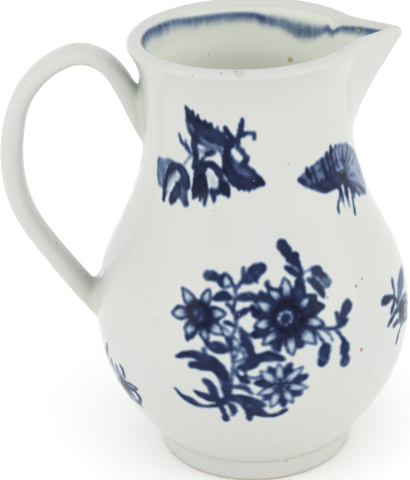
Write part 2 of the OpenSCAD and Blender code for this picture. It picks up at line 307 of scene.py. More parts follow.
class Form:
    """The wall with its beak as two skins, each a radius for every azimuth and height."""

    def __init__(self, settings):
        wall, beak = settings.wall, settings.beak
        self.height = wall.height / MM
        self.low = wall.foot_top / MM
        self.lip_round = wall.lip_round / MM
        self.lip_z = self.height - self.lip_round
        self.neck_wall = wall.neck_wall / MM
        self.belly_wall = wall.belly_wall / MM
        self.floor_z = self.low + wall.floor_wall / MM
        self.turn_z = self.floor_z + FLOOR_TURN
        self.ripple = wall.ripple / MM
        self.sway = wall.sway / MM
        self.beak = {key: getattr(beak, key) / MM
                     for key in ("reach", "low", "root_half", "wall", "keel_round", "seam_round")}
        self.profile = natural_spline(WALL_HEIGHTS + (self.lip_z,), WALL_RADII + (LIP_RADIUS,))
        heights = np.linspace(self.low, self.lip_z, PROFILE_STEPS)
        rise = np.hypot(np.diff(heights), np.diff(self.profile(heights)))
        self.heights = heights
        self.climb = np.concatenate([[0], np.cumsum(rise)])
        self.climb_total = self.climb[-1]

    def height_at(self, climb):
        return np.interp(climb, self.climb, self.heights)

    def climb_at(self, z):
        return np.interp(z, self.heights, self.climb)

    def station_outside(self, z):
        return OUTSIDE + self.climb_at(z) / self.climb_total

    def station_inside(self, z):
        return INSIDE + (self.lip_z - z) / (self.lip_z - self.turn_z)

    def beak_side(self, azimuth, z, inset):
        """Radius of the beak's two flat sides, moved in by inset, meeting in a rounded keel."""
        beak = self.beak
        share = np.clip((z - beak["low"]) / (self.height - beak["low"]), 0.002, 1.1)
        neck = self.profile(np.minimum(z, self.lip_z - FLARE))
        keel = neck + (beak["reach"] + KEEL_SPARE - neck) * share ** KEEL_BOW
        root_y = beak["root_half"] * share ** ROOT_BOW
        length = np.hypot(keel - ROOT_X, root_y)
        lean_x, lean_y = root_y / length, (keel - ROOT_X) / length
        away = keel * lean_x - inset
        turned = np.abs(azimuth)
        right = away / np.maximum(lean_x * np.cos(azimuth) + lean_y * np.sin(azimuth), 0.08)
        left = away / np.maximum(lean_x * np.cos(azimuth) - lean_y * np.sin(azimuth), 0.08)
        side = smooth_min(right, left, beak["keel_round"])
        root = np.arctan2(root_y, ROOT_X)
        beyond = np.maximum(0, (turned - root) * neck)
        below = np.maximum(0, beak["low"] - z)
        return side - SIDE_FADE * beyond ** 2 - LOW_FADE * below

    def outer(self, azimuth, z):
        plain = self.profile(z)
        wobble = self.sway * waves(np.cos(azimuth), np.sin(azimuth), z * 0.03, 11, 6, 0.8, 2.6)
        wobble += self.ripple * np.sin(z * RINGS_OUTSIDE + azimuth) * ease((z - 8) / 6)
        spout = self.beak_side(azimuth, z, 0)
        return smooth_max(plain, spout, self.beak["seam_round"]) + wobble

    def inner(self, azimuth, z):
        step = 0.05
        slope = (self.profile(z + step) - self.profile(z - step)) / (2 * step)
        share = np.clip((z - self.floor_z) / (NECK_Z - self.floor_z), 0, 1)
        thick = self.belly_wall + (self.neck_wall - self.belly_wall) * share
        thick = thick + (2 * self.lip_round - thick) * ease((z - SWELL_Z) / SWELL_RUN)
        plain = self.profile(z) - thick * np.sqrt(1 + slope * slope * (z < SLANT_TOP_Z))
        wobble = INSIDE_RIPPLE * self.ripple * np.sin(z * RINGS_INSIDE - azimuth) * (z < 84)
        spout = self.beak_side(azimuth, z, self.beak["wall"])
        return smooth_max(plain, spout, BEAK_INSIDE_ROUND) + wobble

    def section(self, azimuth, station):
        """Radius and height at a station of the section at an azimuth."""
        azimuth, station = np.broadcast_arrays(azimuth, station)
        radius, height = np.zeros(azimuth.shape), np.zeros(azimuth.shape)
        part = station < OUTSIDE
        share = station[part] - UNDER
        edge = self.outer(azimuth[part], np.full(share.shape, self.low))
        radius[part] = edge * share
        height[part] = self.low - UNDER_HOLLOW * ease((share - 0.35) / 0.5)
        height[part] += UNDER_HOLLOW * ease((share - 0.9) / 0.1)
        part = (station >= OUTSIDE) & (station < LIP)
        z = self.height_at((station[part] - OUTSIDE) * self.climb_total)
        radius[part], height[part] = self.outer(azimuth[part], z), z
        part = (station >= LIP) & (station < INSIDE)
        turn = (station[part] - LIP) * math.pi
        z = np.full(turn.shape, self.lip_z)
        out, inside = self.outer(azimuth[part], z), self.inner(azimuth[part], z)
        radius[part] = (out + inside) / 2 + (out - inside) / 2 * np.cos(turn)
        height[part] = z + self.lip_round * np.sin(turn)
        part = (station >= INSIDE) & (station < FLOOR)
        z = self.lip_z + (self.turn_z - self.lip_z) * (station[part] - INSIDE)
        radius[part], height[part] = self.inner(azimuth[part], z), z
        part = station >= FLOOR
        share = END - station[part]
        start = self.inner(azimuth[part], np.full(share.shape, self.turn_z))
        angle = np.clip(share * 2 - 1, 0, 1) * math.pi / 2
        flat = FLOOR_FLAT * start
        radius[part] = np.where(share > 0.5, flat + (start - flat) * np.sin(angle),
                                flat * share * 2)
        height[part] = self.floor_z + (self.turn_z - self.floor_z) * (1 - np.cos(angle))
        height[part] += FLOOR_CROWN * (1 - np.clip(share * 2, 0, 1) ** 2)
        return radius, height

    def point(self, azimuth, station):
        radius, height = self.section(azimuth, station)
        return np.stack([radius * np.cos(azimuth), radius * np.sin(azimuth), height], -1)

    def normal(self, azimuth, station):
        """Outward normal of the skin, from its neighbours either way."""
        turn, move = 0.002, 0.0015
        station = np.clip(station, UNDER + 2 * move, END - 2 * move)
        across = self.point(azimuth + turn, station) - self.point(azimuth - turn, station)
        along = self.point(azimuth, station + move) - self.point(azimuth, station - move)
        return unit(np.cross(across, along))


# ---- the skin as a mesh, finer where it is painted or bent -------------------

COLUMNS = 160                      # cells round the jug before any are split
DEEPEST = 3                        # times that a cell may be split in four
FINE = 2 ** DEEPEST
CONTRAST = (0.05, 0.08, 0.36)      # change of cobalt that splits a cell, from the largest down
KEEL_ZONE = 5                      # azimuth in degrees within which the keel has the finest cells
POLE_GAP = 0.02                    # station left open at each pole, for the closing fan
BAND_INNER = 20.25                 # azimuths in degrees that bound the seams of slip
BAND_OUTER = 27.0
BAND_LOW_Z, BAND_TOP_Z = 66.5, 69.0            # heights that bound them below
PAINTED_FILL_DEPTH = 12.0                   # depth below the lip where the painted bounce light inside is at full strength
PAINTED_FILL_AT_LIP = 0.60                  # share of that painted bounce light just inside the lip


def station_rows(form):
    """Stations of the base rows, with one on each height where pieces meet."""
    low_out, top_out = form.station_outside(BAND_LOW_Z), form.station_outside(BAND_TOP_Z)
    low_in, top_in = form.station_inside(BAND_LOW_Z), form.station_inside(BAND_TOP_Z)
    stretches = [
        (UNDER + POLE_GAP, OUTSIDE, 12), (OUTSIDE, low_out, 56), (low_out, top_out, 2),
        (top_out, LIP, 16), (LIP, INSIDE, 5), (INSIDE, top_in, 16), (top_in, low_in, 2),
        (low_in, FLOOR, 36), (FLOOR, END - POLE_GAP, 14)]
    rows = [np.linspace(a, b, n, endpoint=False) for a, b, n in stretches]
    return np.concatenate(rows + [[stretches[-1][1]]]), {
        "low_out": low_out, "top_out": top_out, "low_in": low_in, "top_in": top_in}


def block(values, size, pick):
    """Largest or smallest of each size by size block of cells."""
    rows, columns = values.shape
    return pick(pick(values.reshape(rows // size, size, columns // size, size), 3), 1)


class Skin:
    """Leaf cells of a grid in azimuth and station, kept in steps of the finest cell."""

    def __init__(self, form):
        self.form = form
        base, self.marks = station_rows(form)
        steps = np.arange((len(base) - 1) * FINE + 1) / FINE
        self.stations = np.interp(steps, np.arange(len(base)), base)
        self.rows, self.columns = len(self.stations) - 1, COLUMNS * FINE
        self.azimuths = (np.arange(self.columns) / self.columns * 2 - 1) * math.pi
        self.ink = np.zeros((self.rows + 1, self.columns), np.float32)

    def row_of(self, mark):
        return int(np.argmin(np.abs(self.stations - self.marks[mark])))

    def column_of(self, degrees_round):
        return int(round((degrees_round / 360 + 0.5) * self.columns)) % self.columns

    def depth_wanted(self):
        """How many times each finest cell's place should be split for its shape alone."""
        station = (self.stations[:-1] + self.stations[1:])[:, None] / 2
        turned = np.degrees(np.abs(self.azimuths + FULL_TURN / self.columns / 2))[None, :]
        wanted = np.zeros((self.rows, self.columns), int)
        lip = (station > LIP - 0.03) & (station < INSIDE + 0.03)
        wanted[np.broadcast_to(lip, wanted.shape)] = 1
        above_band = (station > self.marks["low_out"]) & (station < self.marks["low_in"])
        spout = (turned < BAND_OUTER) & above_band
        wanted[spout] = 2
        wanted[spout & (turned < KEEL_ZONE)] = 3
        wanted[spout & lip] = 3
        near_foot = (station > OUTSIDE - 0.06) & (station < OUTSIDE + 0.02)
        wanted[np.broadcast_to(near_foot, wanted.shape)] = 1
        return wanted

    def split(self):
        """Leaf cells as (row, column, size), split where the painting or the shape changes."""
        ink = self.ink
        corners = np.stack([ink[:-1], ink[1:], np.roll(ink, -1, 1)[:-1], np.roll(ink, -1, 1)[1:]])
        high, low = corners.max(0), corners.min(0)
        wanted = self.depth_wanted()
        leaves, exists = [], None
        for depth in range(DEEPEST + 1):
            size = FINE >> depth
            if exists is None:
                exists = np.ones((self.rows // size, self.columns // size), bool)
            if depth < DEEPEST:
                change = block(high, size, np.max) - block(low, size, np.min)
                deeper = (change > CONTRAST[depth]) | (block(wanted, size, np.max) > depth)
                deeper &= exists
            else:
                deeper = np.zeros_like(exists)
            row, column = np.nonzero(exists & ~deeper)
            leaves.append(np.stack([row * size, column * size, np.full(len(row), size)], -1))
            exists = deeper.repeat(2, 0).repeat(2, 1)
        return np.concatenate(leaves)


def used_corners(skin, leaves):
    """Marks each fine grid corner that some leaf cell has as its own corner."""
    used = np.zeros((skin.rows + 1, skin.columns), bool)
    row, column, size = leaves.T
    for down in (0, 1):
        for across in (0, 1):
            used[row + down * size, (column + across * size) % skin.columns] = True
    return used


def leaf_faces(skin, leaves, used):
    """Each leaf's outline as grid corners, with its finer neighbours' corners let in."""
    faces = []
    columns = skin.columns
    for row, column, size in leaves.tolist():
        low, high, left, right = row, row + size, column, column + size
        outline = [(low, left), (low, right), (high, right), (high, left)]
        if size > 1:
            inner = range(1, size)
            bottom = [(low, left + k) for k in inner if used[low, (left + k) % columns]]
            side = [(low + k, right) for k in inner if used[low + k, right % columns]]
            top = [(high, right - k) for k in inner if used[high, (right - k) % columns]]
            back = [(high - k, left) for k in inner if used[high - k, left % columns]]
            outline = (outline[:1] + bottom + outline[1:2] + side + outline[2:3] + top
                       + outline[3:] + back)
        faces.append([r * columns + c % columns for r, c in outline])
    return faces


def wall_cuts(skin, used, left, right, low, high, outwards):
    """Flat faces that close a piece where it is cut: down both edges and along the low end.

    The cut region runs from azimuth left to right above the low stations. With outwards it is
    the region itself that is closed, without it is what is left round the region.
    """
    first, last = skin.row_of(low), skin.row_of(high)
    near, far = skin.column_of(left), skin.column_of(right)
    columns = skin.columns

    def up(column):
        return [r * columns + column for r in range(first, last + 1) if used[r, column]]

    def across(row):
        return [row * columns + c for c in range(near, far + 1) if used[row, c]]

    cuts = [up(near), up(far)[::-1], across(first)[::-1] + across(last)]
    return cuts if outwards else [cut[::-1] for cut in cuts]


def skin_piece(name, skin, leaves, used, cuts, pooling):
    """One closed piece of the wall, from its leaf cells and the flat cuts that bound it."""
    faces = leaf_faces(skin, leaves, used)
    smooth = len(faces)
    faces += cuts
    ends = []
    rows = {face[0] // skin.columns for face in faces}
    for row, station in ((0, UNDER), (skin.rows, END)):
        if row in rows or row - 1 in rows and station == END:
            ring = [row * skin.columns + c for c in range(skin.columns) if used[row, c]]
            if station == UNDER:
                ring = ring[::-1]
            centre = -1 - len(ends)
            ends.append(station)
            faces += [[ring[k], ring[(k + 1) % len(ring)], centre] for k in range(len(ring))]
    keys = np.unique(np.concatenate([np.array(face) for face in faces]))
    keys = keys[keys >= 0]
    number = {key: k for k, key in enumerate(keys.tolist())}
    for k in range(len(ends)):
        number[-1 - k] = len(keys) + k
    faces = [[number[key] for key in face] for face in faces]
    row, column = keys // skin.columns, keys % skin.columns
    azimuth, station = skin.azimuths[column], skin.stations[row]
    points = skin.form.point(azimuth, station)
    normals = skin.form.normal(azimuth, station)
    ink, pool = skin.ink[row, column], pooling(azimuth, station)
    for end in ends:
        _, height = skin.form.section(np.zeros(1), np.full(1, end))
        points = np.concatenate([points, [[0, 0, height[0]]]])
        normals = np.concatenate([normals, [[0, 0, 1.0 if end == END else -1.0]]])
        ink, pool = np.append(ink, 0), np.append(pool, pool[-1])
    # Painted light: the inner half of the lip and the inside wall get a share of the brighter, greener
    # inside colour, rising from the lip downwards, as painted bounce light.
    within = np.zeros(len(points))
    deeper = ease((skin.form.lip_z - points[:len(station), 2]) / PAINTED_FILL_DEPTH)
    painted_fill_share = PAINTED_FILL_AT_LIP + (1 - PAINTED_FILL_AT_LIP) * deeper
    within[:len(station)] = ease((station - LIP - 0.6) / 0.5) * painted_fill_share
    piece = make_mesh(name, points, faces, None,
                      (("cobalt", ink), ("pool", pool), ("inside", within)))
    mesh = piece.data
    flat = range(smooth, smooth + len(cuts))
    for k in flat:
        mesh.polygons[k].use_smooth = False
    corner = np.empty(len(mesh.loops), int)
    mesh.loops.foreach_get("vertex_index", corner)
    split = normals[corner]
    for k in flat:
        polygon = mesh.polygons[k]
        split[polygon.loop_start:polygon.loop_start + polygon.loop_total] = 0
    mesh.normals_split_custom_set(split)
    return piece


# How thickly the glaze pools over the foot, on the floor, along the beak's seams, round the
# handle's ends and under the jug.
FOOT_POOL, FLOOR_POOL, SEAM_POOL, END_POOL, UNDER_POOL = 0.35, 0.5, 0.35, 0.8, 0.35

# Where the handle's ends meet the wall: height, then half the height and half the width of each.
HANDLE_ENDS = ((74.3, 9.4, 4.6), (34.6, 7.0, 4.8))


def pooled_glaze(form):
    """Returns how thick the glaze lies at a place on the skin, from 0 to 1."""
    def depth(azimuth, station):
        radius, height = form.section(azimuth, station)
        outside = (station >= OUTSIDE) & (station < LIP)
        inside = station >= LIP + 0.7
        pool = np.zeros(np.broadcast(azimuth, station).shape)
        pool += outside * FOOT_POOL * np.exp(-((height - form.low) / 1.0) ** 2)
        pool += inside * FLOOR_POOL * np.exp(-((height - form.floor_z) / 4.0) ** 2)
        plain = form.profile(np.clip(height, form.low, form.lip_z))
        gap = np.abs(form.beak_side(azimuth, height, 0) - plain)
        near = (np.abs(azimuth) < math.radians(BAND_OUTER)) & (height > BAND_LOW_Z) & outside
        pool += near * SEAM_POOL * np.exp(-(gap / 0.55) ** 2)
        from_handle = (np.abs(azimuth) - math.pi) * radius
        for z, half_height, half_width in HANDLE_ENDS:
            away = np.hypot((height - z) / half_height, from_handle / half_width)
            pool += outside * END_POOL * np.exp(-((away - 1) * half_width / 0.8) ** 2)
        pool += (station < OUTSIDE) * UNDER_POOL
        return np.clip(pool, 0, 1)
    return depth


# ---- the painting ---------------------------------------------------------------

DAB = 0.14                         # spacing of the dabs that make up a stroke
EDGE = 0.22                        # width over which a stroke's edge fades
TOOTH = 0.9                        # spacing of the teeth along a leaf's edge
SPARE = 0.3                        # margin round a stroke that is looked at
PETAL_BELLY = 0.42                 # share of a petal's length at which it is widest
STREAK = 0.36                      # half the spacing of the streaks that shade a petal


class Brush:
    """Cobalt laid on the wall, in millimetres to the right of a point and up from it.

    A stroke's points are (right, up, width). Side -1 paints everything the other way round.
    """

    def __init__(self, skin, azimuth, z, side=1, wander=0.0, reach=26.0):
        form = skin.form
        outside = np.nonzero((skin.stations >= OUTSIDE) & (skin.stations <= LIP))[0]
        up = (skin.stations[outside] - OUTSIDE) * form.climb_total - form.climb_at(z)
        near = np.abs(up) < reach
        rows, up = outside[near], up[near]
        radius = form.profile(form.height_at(up + form.climb_at(z)))
        centre = skin.column_of(azimuth)
        half = min(int(reach / radius.min() / FULL_TURN * skin.columns), skin.columns // 2 - 1)
        steps = np.arange(-half, half + 1)
        turn = steps * FULL_TURN / skin.columns + skin.azimuths[centre] - math.radians(azimuth)
        self.skin, self.rows, self.columns = skin, rows, (centre + steps) % skin.columns
        right = side * radius[:, None] * turn
        self.up_rows, self.turn, self.side, self.radius = up, turn, side, radius
        self.margin = 2 * wander
        self.right = right + wander * waves(right * 0.16, up[:, None] * 0.16, 0, 3, 6)
        self.up = up[:, None] + wander * waves(right * 0.16, up[:, None] * 0.16, 5, 4, 6)
        self.ragged = 0.11 * waves(right * 2.2, up[:, None] * 2.2, side, 21, 12, 0.8, 3.2)
        self.patchy = ease(0.5 + 0.6 * waves(right * 1.5, up[:, None] * 1.5, side, 8, 12, 0.6, 2.4))
        self.ink = skin.ink[np.ix_(self.rows, self.columns)]

    def done(self):
        """Puts the painted patch back on the skin."""
        self.skin.ink[np.ix_(self.rows, self.columns)] = self.ink

    def window(self, low, high):
        """The part of the patch that holds a box, from its low and high corners."""
        low, high = low - self.margin - SPARE, high + self.margin + SPARE
        first, last = np.searchsorted(self.up_rows, (low[1], high[1]))
        last = max(last, first + 1)
        near = self.radius[first:last]
        if len(near) == 0:
            return slice(0, 0), slice(0, 0)
        ends = [self.side * x / r for x in (low[0], high[0]) for r in (near.min(), near.max())]
        left, right = np.searchsorted(self.turn, (min(ends), max(ends)))
        return slice(first, last), slice(left, right)

    def cover(self, points, teeth=0.0):
        """Where a stroke lies, from 0 to 1, and how far out from its middle line."""
        path = smooth_path(points, DAB)
        wide = np.maximum(path[:, 2], 0.1) / 2 + 0.05
        along = np.arange(len(path)) * DAB
        wide = wide + teeth * (np.mod(along, TOOTH) / TOOTH - 0.4)
        low = (path[:, :2] - wide[:, None]).min(0)
        high = (path[:, :2] + wide[:, None]).max(0)
        part = self.window(low, high)
        right, up = self.right[part], self.up[part]
        nearest = np.full(right.shape, 9.0)
        for (x, y, _), reach in zip(path, wide):
            around = y - reach - self.margin - SPARE, y + reach + self.margin + SPARE
            rows = slice(*np.searchsorted(self.up_rows[part[0]], around))
            away = np.hypot(right[rows] - x, up[rows] - y)
            np.minimum(nearest[rows], away - reach, out=nearest[rows])
        nearest += self.ragged[part]
        return part, np.clip(0.5 - nearest / EDGE, 0, 1), nearest, wide.max()

    def stroke(self, *points, depth=0.9, teeth=0.0):
        """A stroke of the full brush: darkest at its edge, a little thinner in its middle."""
        part, cover, beyond, widest = self.cover(points, teeth)
        inward = np.clip(-beyond / max(widest, 0.3), 0, 1) * min(widest, 1.0)
        tone = depth * (1 - 0.20 * inward - 0.22 * self.patchy[part])
        self.ink[part] = np.maximum(self.ink[part], cover * tone)

    def wash(self, *points, depth=0.35):
        """A stroke that leaves its own depth whatever lay there, as where colour is wiped."""
        part, cover, _, _ = self.cover(points)
        self.ink[part] = self.ink[part] * (1 - cover) + depth * cover

    def petal(self, base, tip, width, inside=0.13, line=0.48, depth=0.92, shade=0.96,
              reach=0.54):
        """A pointed petal: outlined, pale near its tip and shaded from its base up to reach."""
        base, tip = np.array(base, float), np.array(tip, float)
        length = np.linalg.norm(tip - base)
        along = (tip - base) / length
        part = self.window(np.minimum(base, tip) - width, np.maximum(base, tip) + width)
        x, y = self.right[part] - base[0], self.up[part] - base[1]
        t = (x * along[0] + y * along[1]) / length
        s = x * along[1] - y * along[0]
        near_base = np.clip(t / PETAL_BELLY, 0, 1)
        near_tip = np.clip((t - PETAL_BELLY) / (1 - PETAL_BELLY), 0, 1)
        swell = np.where(t < PETAL_BELLY, 0.72 + 0.28 * np.sin(near_base * math.pi / 2),
                         1 - near_tip ** 1.9)
        edge = np.abs(s) - swell * width / 2
        edge = np.maximum(edge, np.maximum(-t - 0.02, t - 1) * length) + self.ragged[part]
        body = np.clip(0.5 - (edge - line / 2) / EDGE, 0, 1)
        rim = np.clip(0.5 - (np.abs(edge) - line / 2) / EDGE, 0, 1)
        streaks = 0.5 + 0.5 * np.cos(s / STREAK * math.pi)
        shaded = ease((reach + 0.22 * (streaks - 0.5) - t) / 0.42)
        tone = np.maximum(inside + (shade - inside) * shaded, rim * depth)
        self.ink[part] = self.ink[part] * (1 - body) + np.minimum(tone, 1) * body


def star_flower(brush, centre, petals, heart, depth=0.98):
    """Outlined petals, each (base, tip, width), over a dark heart of the given width."""
    for base, tip, width in petals:
        brush.petal(base, tip, width)
    brush.stroke((*centre, heart), depth=depth)


def bouquet(brush):
    """Three flowers with their buds and leaves on crossing stems."""
    stroke, petal, wash = brush.stroke, brush.petal, brush.wash
    # Stems, with the thin strands that cross them.
    stroke((-6.2, -13.2, 1.0), (-5.5, -10, 0.5), (-5.2, -7, 0.42), (-5.0, -4.5, 0.45), (-5.3, -2, 0.5),
           (-4.9, 0.3, 0.55), (-4.3, 2, 0.5), (-4.2, 4, 0.45), (-4.5, 5.5, 0.45), (-4.1, 7.2, 0.45),
           (-4.1, 9, 0.55))
    stroke((-4.5, 0, 0.4), (-3.5, -1.5, 0.4), (-2.8, -3.8, 0.35))
    stroke((-3.2, -1, 0.4), (-4.6, -4, 0.4))
    stroke((-6.6, 2.0, 0.4), (-5.6, 1.0, 0.35), (-4.8, 0.1, 0.4), depth=0.8)
    stroke((-4.6, -4.7, 0.5), (-2.6, -4.2, 0.6), (-0.8, -3.6, 0.6), depth=0.8)
    stroke((-6.0, 0, 0.6), (-5.6, -0.8, 0.9), (-5.3, -1.8, 0.5))
    stroke((-5.6, 6.3, 0.7), (-5.0, 5.6, 0.5), (-4.6, 4.6, 0.5), depth=0.8)
    stroke((-10.5, -0.8, 0.5), (-9.9, -2.0, 0.5))
    # Buds at the top of the left stem.
    stroke((-4.2, 9.4, 0.5), (-4.8, 10.8, 0.6), (-5.8, 12.1, 0.5), (-6.6, 11.2, 0.6), (-7.0, 10.2, 0.7),
           (-6.4, 9.6, 0.5), (-5.2, 9.7, 0.6))
    stroke((-6.7, 11.0, 0.6), (-6.7, 10.2, 1.0))
    wash((-5.8, 10.9, 0.5), (-5.7, 10.3, 0.7), depth=0.15)
    stroke((-9.1, 11.45, 2.1), (-8.5, 11.5, 2.1))
    stroke((-8.2, 11.4, 1.9), (-7.3, 11.1, 1.3), depth=0.66)
    stroke((-4.1, 8.8, 0.6), (-3.4, 9.9, 0.5), (-2.8, 10.6, 0.7))
    stroke((-1.2, 11.6, 2.2), (-0.2, 12.4, 2.5), (0.9, 13.2, 2.0))
    stroke((-2.4, 13.4, 0.5), (-2.3, 12.2, 1.1), (-2.0, 11.0, 1.6))
    stroke((-2.0, 10.8, 1.2), (-1.2, 10.6, 1.0))
    stroke((-0.2, 11.2, 1.0), (0.2, 10.6, 0.5))
    # Leaves up the left stem.
    stroke((-4.6, 7.6, 0.5), (-6.4, 7.95, 1.6), (-8.2, 7.2, 0.4), teeth=0.2)
    stroke((-3.8, 7.4, 0.5), (-1.9, 7.9, 1.6), (0.0, 7.5, 0.8), teeth=0.2)
    stroke((-4.2, 3.8, 0.5), (-3, 4.8, 1.2), (-1.7, 5.4, 0.8))
    stroke((-6.3, 2.9, 0.6), (-5.5, 2.8, 0.9), (-4.8, 2.4, 0.6))
    # Left flower.
    star_flower(brush, (-11.3, 4.0), (
        ((-10.9, 2.2), (-9.9, -1.5), 1.7), ((-12.2, 3.0), (-13.9, -1.3), 2.3),
        ((-12.0, 5.0), (-14.7, 8.3), 2.3), ((-10.6, 5.2), (-9.0, 9.0), 1.6),
        ((-12.8, 4.2), (-17.4, 3.0), 2.2), ((-9.8, 2.8), (-6.6, 0.5), 2.3),
        ((-9.6, 4.4), (-5.9, 4.6), 2.3)), 3.0)
    stroke((-12.2, 4.6, 2.4), (-10.4, 3.4, 2.6), depth=0.98)
    stroke((-12.4, 5.6, 1.2), (-11.2, 5.9, 1.6), (-9.9, 5.2, 1.4), depth=0.98)
    stroke((-13.9, -0.9, 0.8), (-12.4, 0.3, 0.7))
    wash((-12.5, 3.3, 0.3), (-12.0, 4.4, 0.4), depth=0.42)
    wash((-11.5, 2.5, 0.3), (-10.9, 3.3, 0.4), depth=0.42)
    wash((-11.0, 4.9, 0.35), (-10.6, 4.4, 0.3), depth=0.42)
    # Dark leaves behind the big flower.
    for points in (
            ((0.7, 8.3, 1.0), (1.8, 7.3, 1.5), (3.4, 5.6, 1.6)), ((-0.6, 0.6, 1.6), (1.2, 1.2, 1.8)),
            ((-1.0, 5.9, 0.9), (-0.4, 4.8, 1.6), (1.0, 4.0, 1.6)),
            ((4.0, -0.3, 1.4), (3.3, -1.4, 2.2), (3.6, -2.4, 1.2)), ((7.4, -0.4, 1.5), (8.0, -2.2, 1.7)),
            ((9.0, 3.9, 1.6), (10.8, 4.2, 2.4), (13.0, 4.2, 0.6)), ((10.9, 4.8, 1.6), (11.0, 6.3, 1.4)),
            ((9.4, 3.2, 0.9), (11.0, 3.2, 0.8)), ((8.3, 9.6, 1.9), (8.2, 8.0, 2.5), (7.6, 5.6, 2.6))):
        stroke(*points, depth=0.97)
    # Big flower.
    star_flower(brush, (5.3, 3.4), (
        ((5.0, 6.2), (2.0, 9.4), 1.9), ((3.6, 4.8), (-0.3, 6.9), 2.1), ((3.2, 3.1), (-0.9, 2.2), 2.4),
        ((4.4, 1.6), (0.6, -1.6), 1.9), ((7.9, 4.2), (10.2, 6.9), 1.8), ((7.4, 1.4), (11.1, -2.5), 2.6),
        ((8.2, 2.7), (13.1, 0.6), 2.1), ((5.9, 1.0), (6.4, -4.2), 2.3),
        ((5.9, 6.0), (5.3, 11.1), 2.1)), 5.0)
    stroke((2.0, 10.4, 0.9), (2.3, 9.4, 0.9), (3.4, 9.0, 0.5), (4.8, 8.7, 0.4))
    for k in range(8):
        turn = k / 8 * FULL_TURN
        wash((5.3 + 1.2 * math.cos(turn), 3.4 + 1.2 * math.sin(turn), 0.62), depth=0.08)
    wash((5.3, 3.4, 0.45), depth=0.3)
    # Buds above the big flower.
    stroke((8.6, 10, 0.9), (8.6, 11.5, 0.8), (8.2, 12.9, 1.0), (7.4, 13.9, 1.9))
    stroke((5.1, 17.2, 2.0), (6.0, 15.9, 2.1))
    stroke((6.7, 14.4, 1.7), (7.5, 14.7, 1.8))
    stroke((8.4, 10.7, 0.7), (7.3, 11.6, 1.3), (5.6, 12.9, 0.5))
    stroke((8.9, 11.3, 0.4), (10.2, 11.5, 0.4), (11.2, 11.7, 0.8), depth=0.6)
    stroke((11.9, 11.2, 1.6), (12.8, 10.2, 1.5), depth=0.85)
    stroke((13.0, 9.9, 1.5), (14.2, 8.5, 1.9), depth=0.74)
    stroke((11.1, 11.3, 0.7), (11.4, 9.6, 0.6), depth=0.62)
    stroke((9.8, 10.1, 0.4), (11.2, 8.9, 1.4), (12.3, 7.6, 1.2), (13.1, 5.9, 0.5))
    # The spray on the right.
    stroke((9.6, 1.2, 0.6), (12.5, 0, 0.5), (15, -0.5, 0.6), (16.5, -0.6, 0.5))
    stroke((15.8, 2.3, 0.5), (16.1, 1.0, 1.0), (16.9, 0.1, 1.5), (18.0, 0.2, 1.1))
    stroke((17.4, 1.5, 1.8), (18.3, 2.7, 2.4), depth=0.85)
    stroke((10.8, 0.2, 0.8), (12, -1.4, 0.5), (12.9, -3, 0.5))
    stroke((13.1, -4.1, 2.4), (12.9, -4.6, 2.5))
    stroke((12.7, -6.2, 2.3), (12.6, -6.6, 2.1), depth=0.85)
    stroke((12, 0, 0.4), (13.8, -1.1, 0.3), (14.8, -3, 0.35), depth=0.75)
    stroke((15.1, -0.7, 0.4), (16.5, -2.3, 0.4), (17.3, -3.8, 0.6))
    stroke((17.4, -4.8, 2.0), (17.4, -5.6, 2.2), depth=0.78)
    stroke((17.5, -7.6, 2.1), (17.4, -8.1, 2.0), depth=0.74)
    # Small flower of dark petals between pale ones, listed by their tips.
    centre = np.array((4.0, -10.3))
    dark = ((1.8, -5.8), (6.0, -5.7), (9.2, -8.8), (8.1, -13.0), (4.6, -15.3), (0.8, -13.2),
            (-0.9, -9.2))
    pale = ((3.6, -5.2), (8.3, -6.9), (9.3, -11.6), (6.3, -14.8), (2.0, -15.3), (-0.4, -11.9),
            (0.1, -6.7))
    stroke((*centre, 4.4))
    for tip in dark:
        arm = np.array(tip) - centre
        inner, outer = centre + arm * 0.35, centre + arm * 0.82
        stroke((*inner, 1.3), (*outer, 1.5), (*tip, 0.5))
    for tip in pale:
        out = np.array(tip) - centre
        petal(centre + out * 0.24, centre + out, 1.75, line=0.34, reach=0.30)
    for k in range(6):
        turn = k / 6 * FULL_TURN
        wash((4.0 + 1.0 * math.cos(turn), -10.2 + 1.0 * math.sin(turn), 0.45), depth=0.12)
    # Leaves in the middle.
    for points in (
            ((-4, -5.9, 0.8), (-2.2, -5.5, 2.0), (-0.4, -4.5, 1.5)),
            ((-0.5, -4.0, 0.9), (1.6, -3.8, 2.0), (3.4, -4.2, 1.4), (4.9, -4.8, 0.4)),
            ((-3.5, 1.8, 0.6), (-2.6, 0, 1.7), (-1.6, -2.6, 1.5), (-1.2, -3.8, 1.2)),
            ((-4.9, -10.2, 0.7), (-3.2, -10.2, 1.2), (-1.6, -11.7, 0.5)),
            ((-3.4, -8.6, 1.0), (-2.4, -8.9, 1.2)), ((-4.9, -2.2, 0.6), (-4.4, -2.0, 0.8)),
            ((-4.4, -6.6, 0.6), (-3.9, -8.0, 0.6), (-2.9, -8.0, 0.6), (-2.8, -6.8, 0.5),
             (-3.6, -6.2, 0.6))):
        stroke(*points)
    stroke((-2.6, -7.9, 0.35), (-1.0, -8.1, 0.3), (0.4, -7.8, 0.35), depth=0.75)
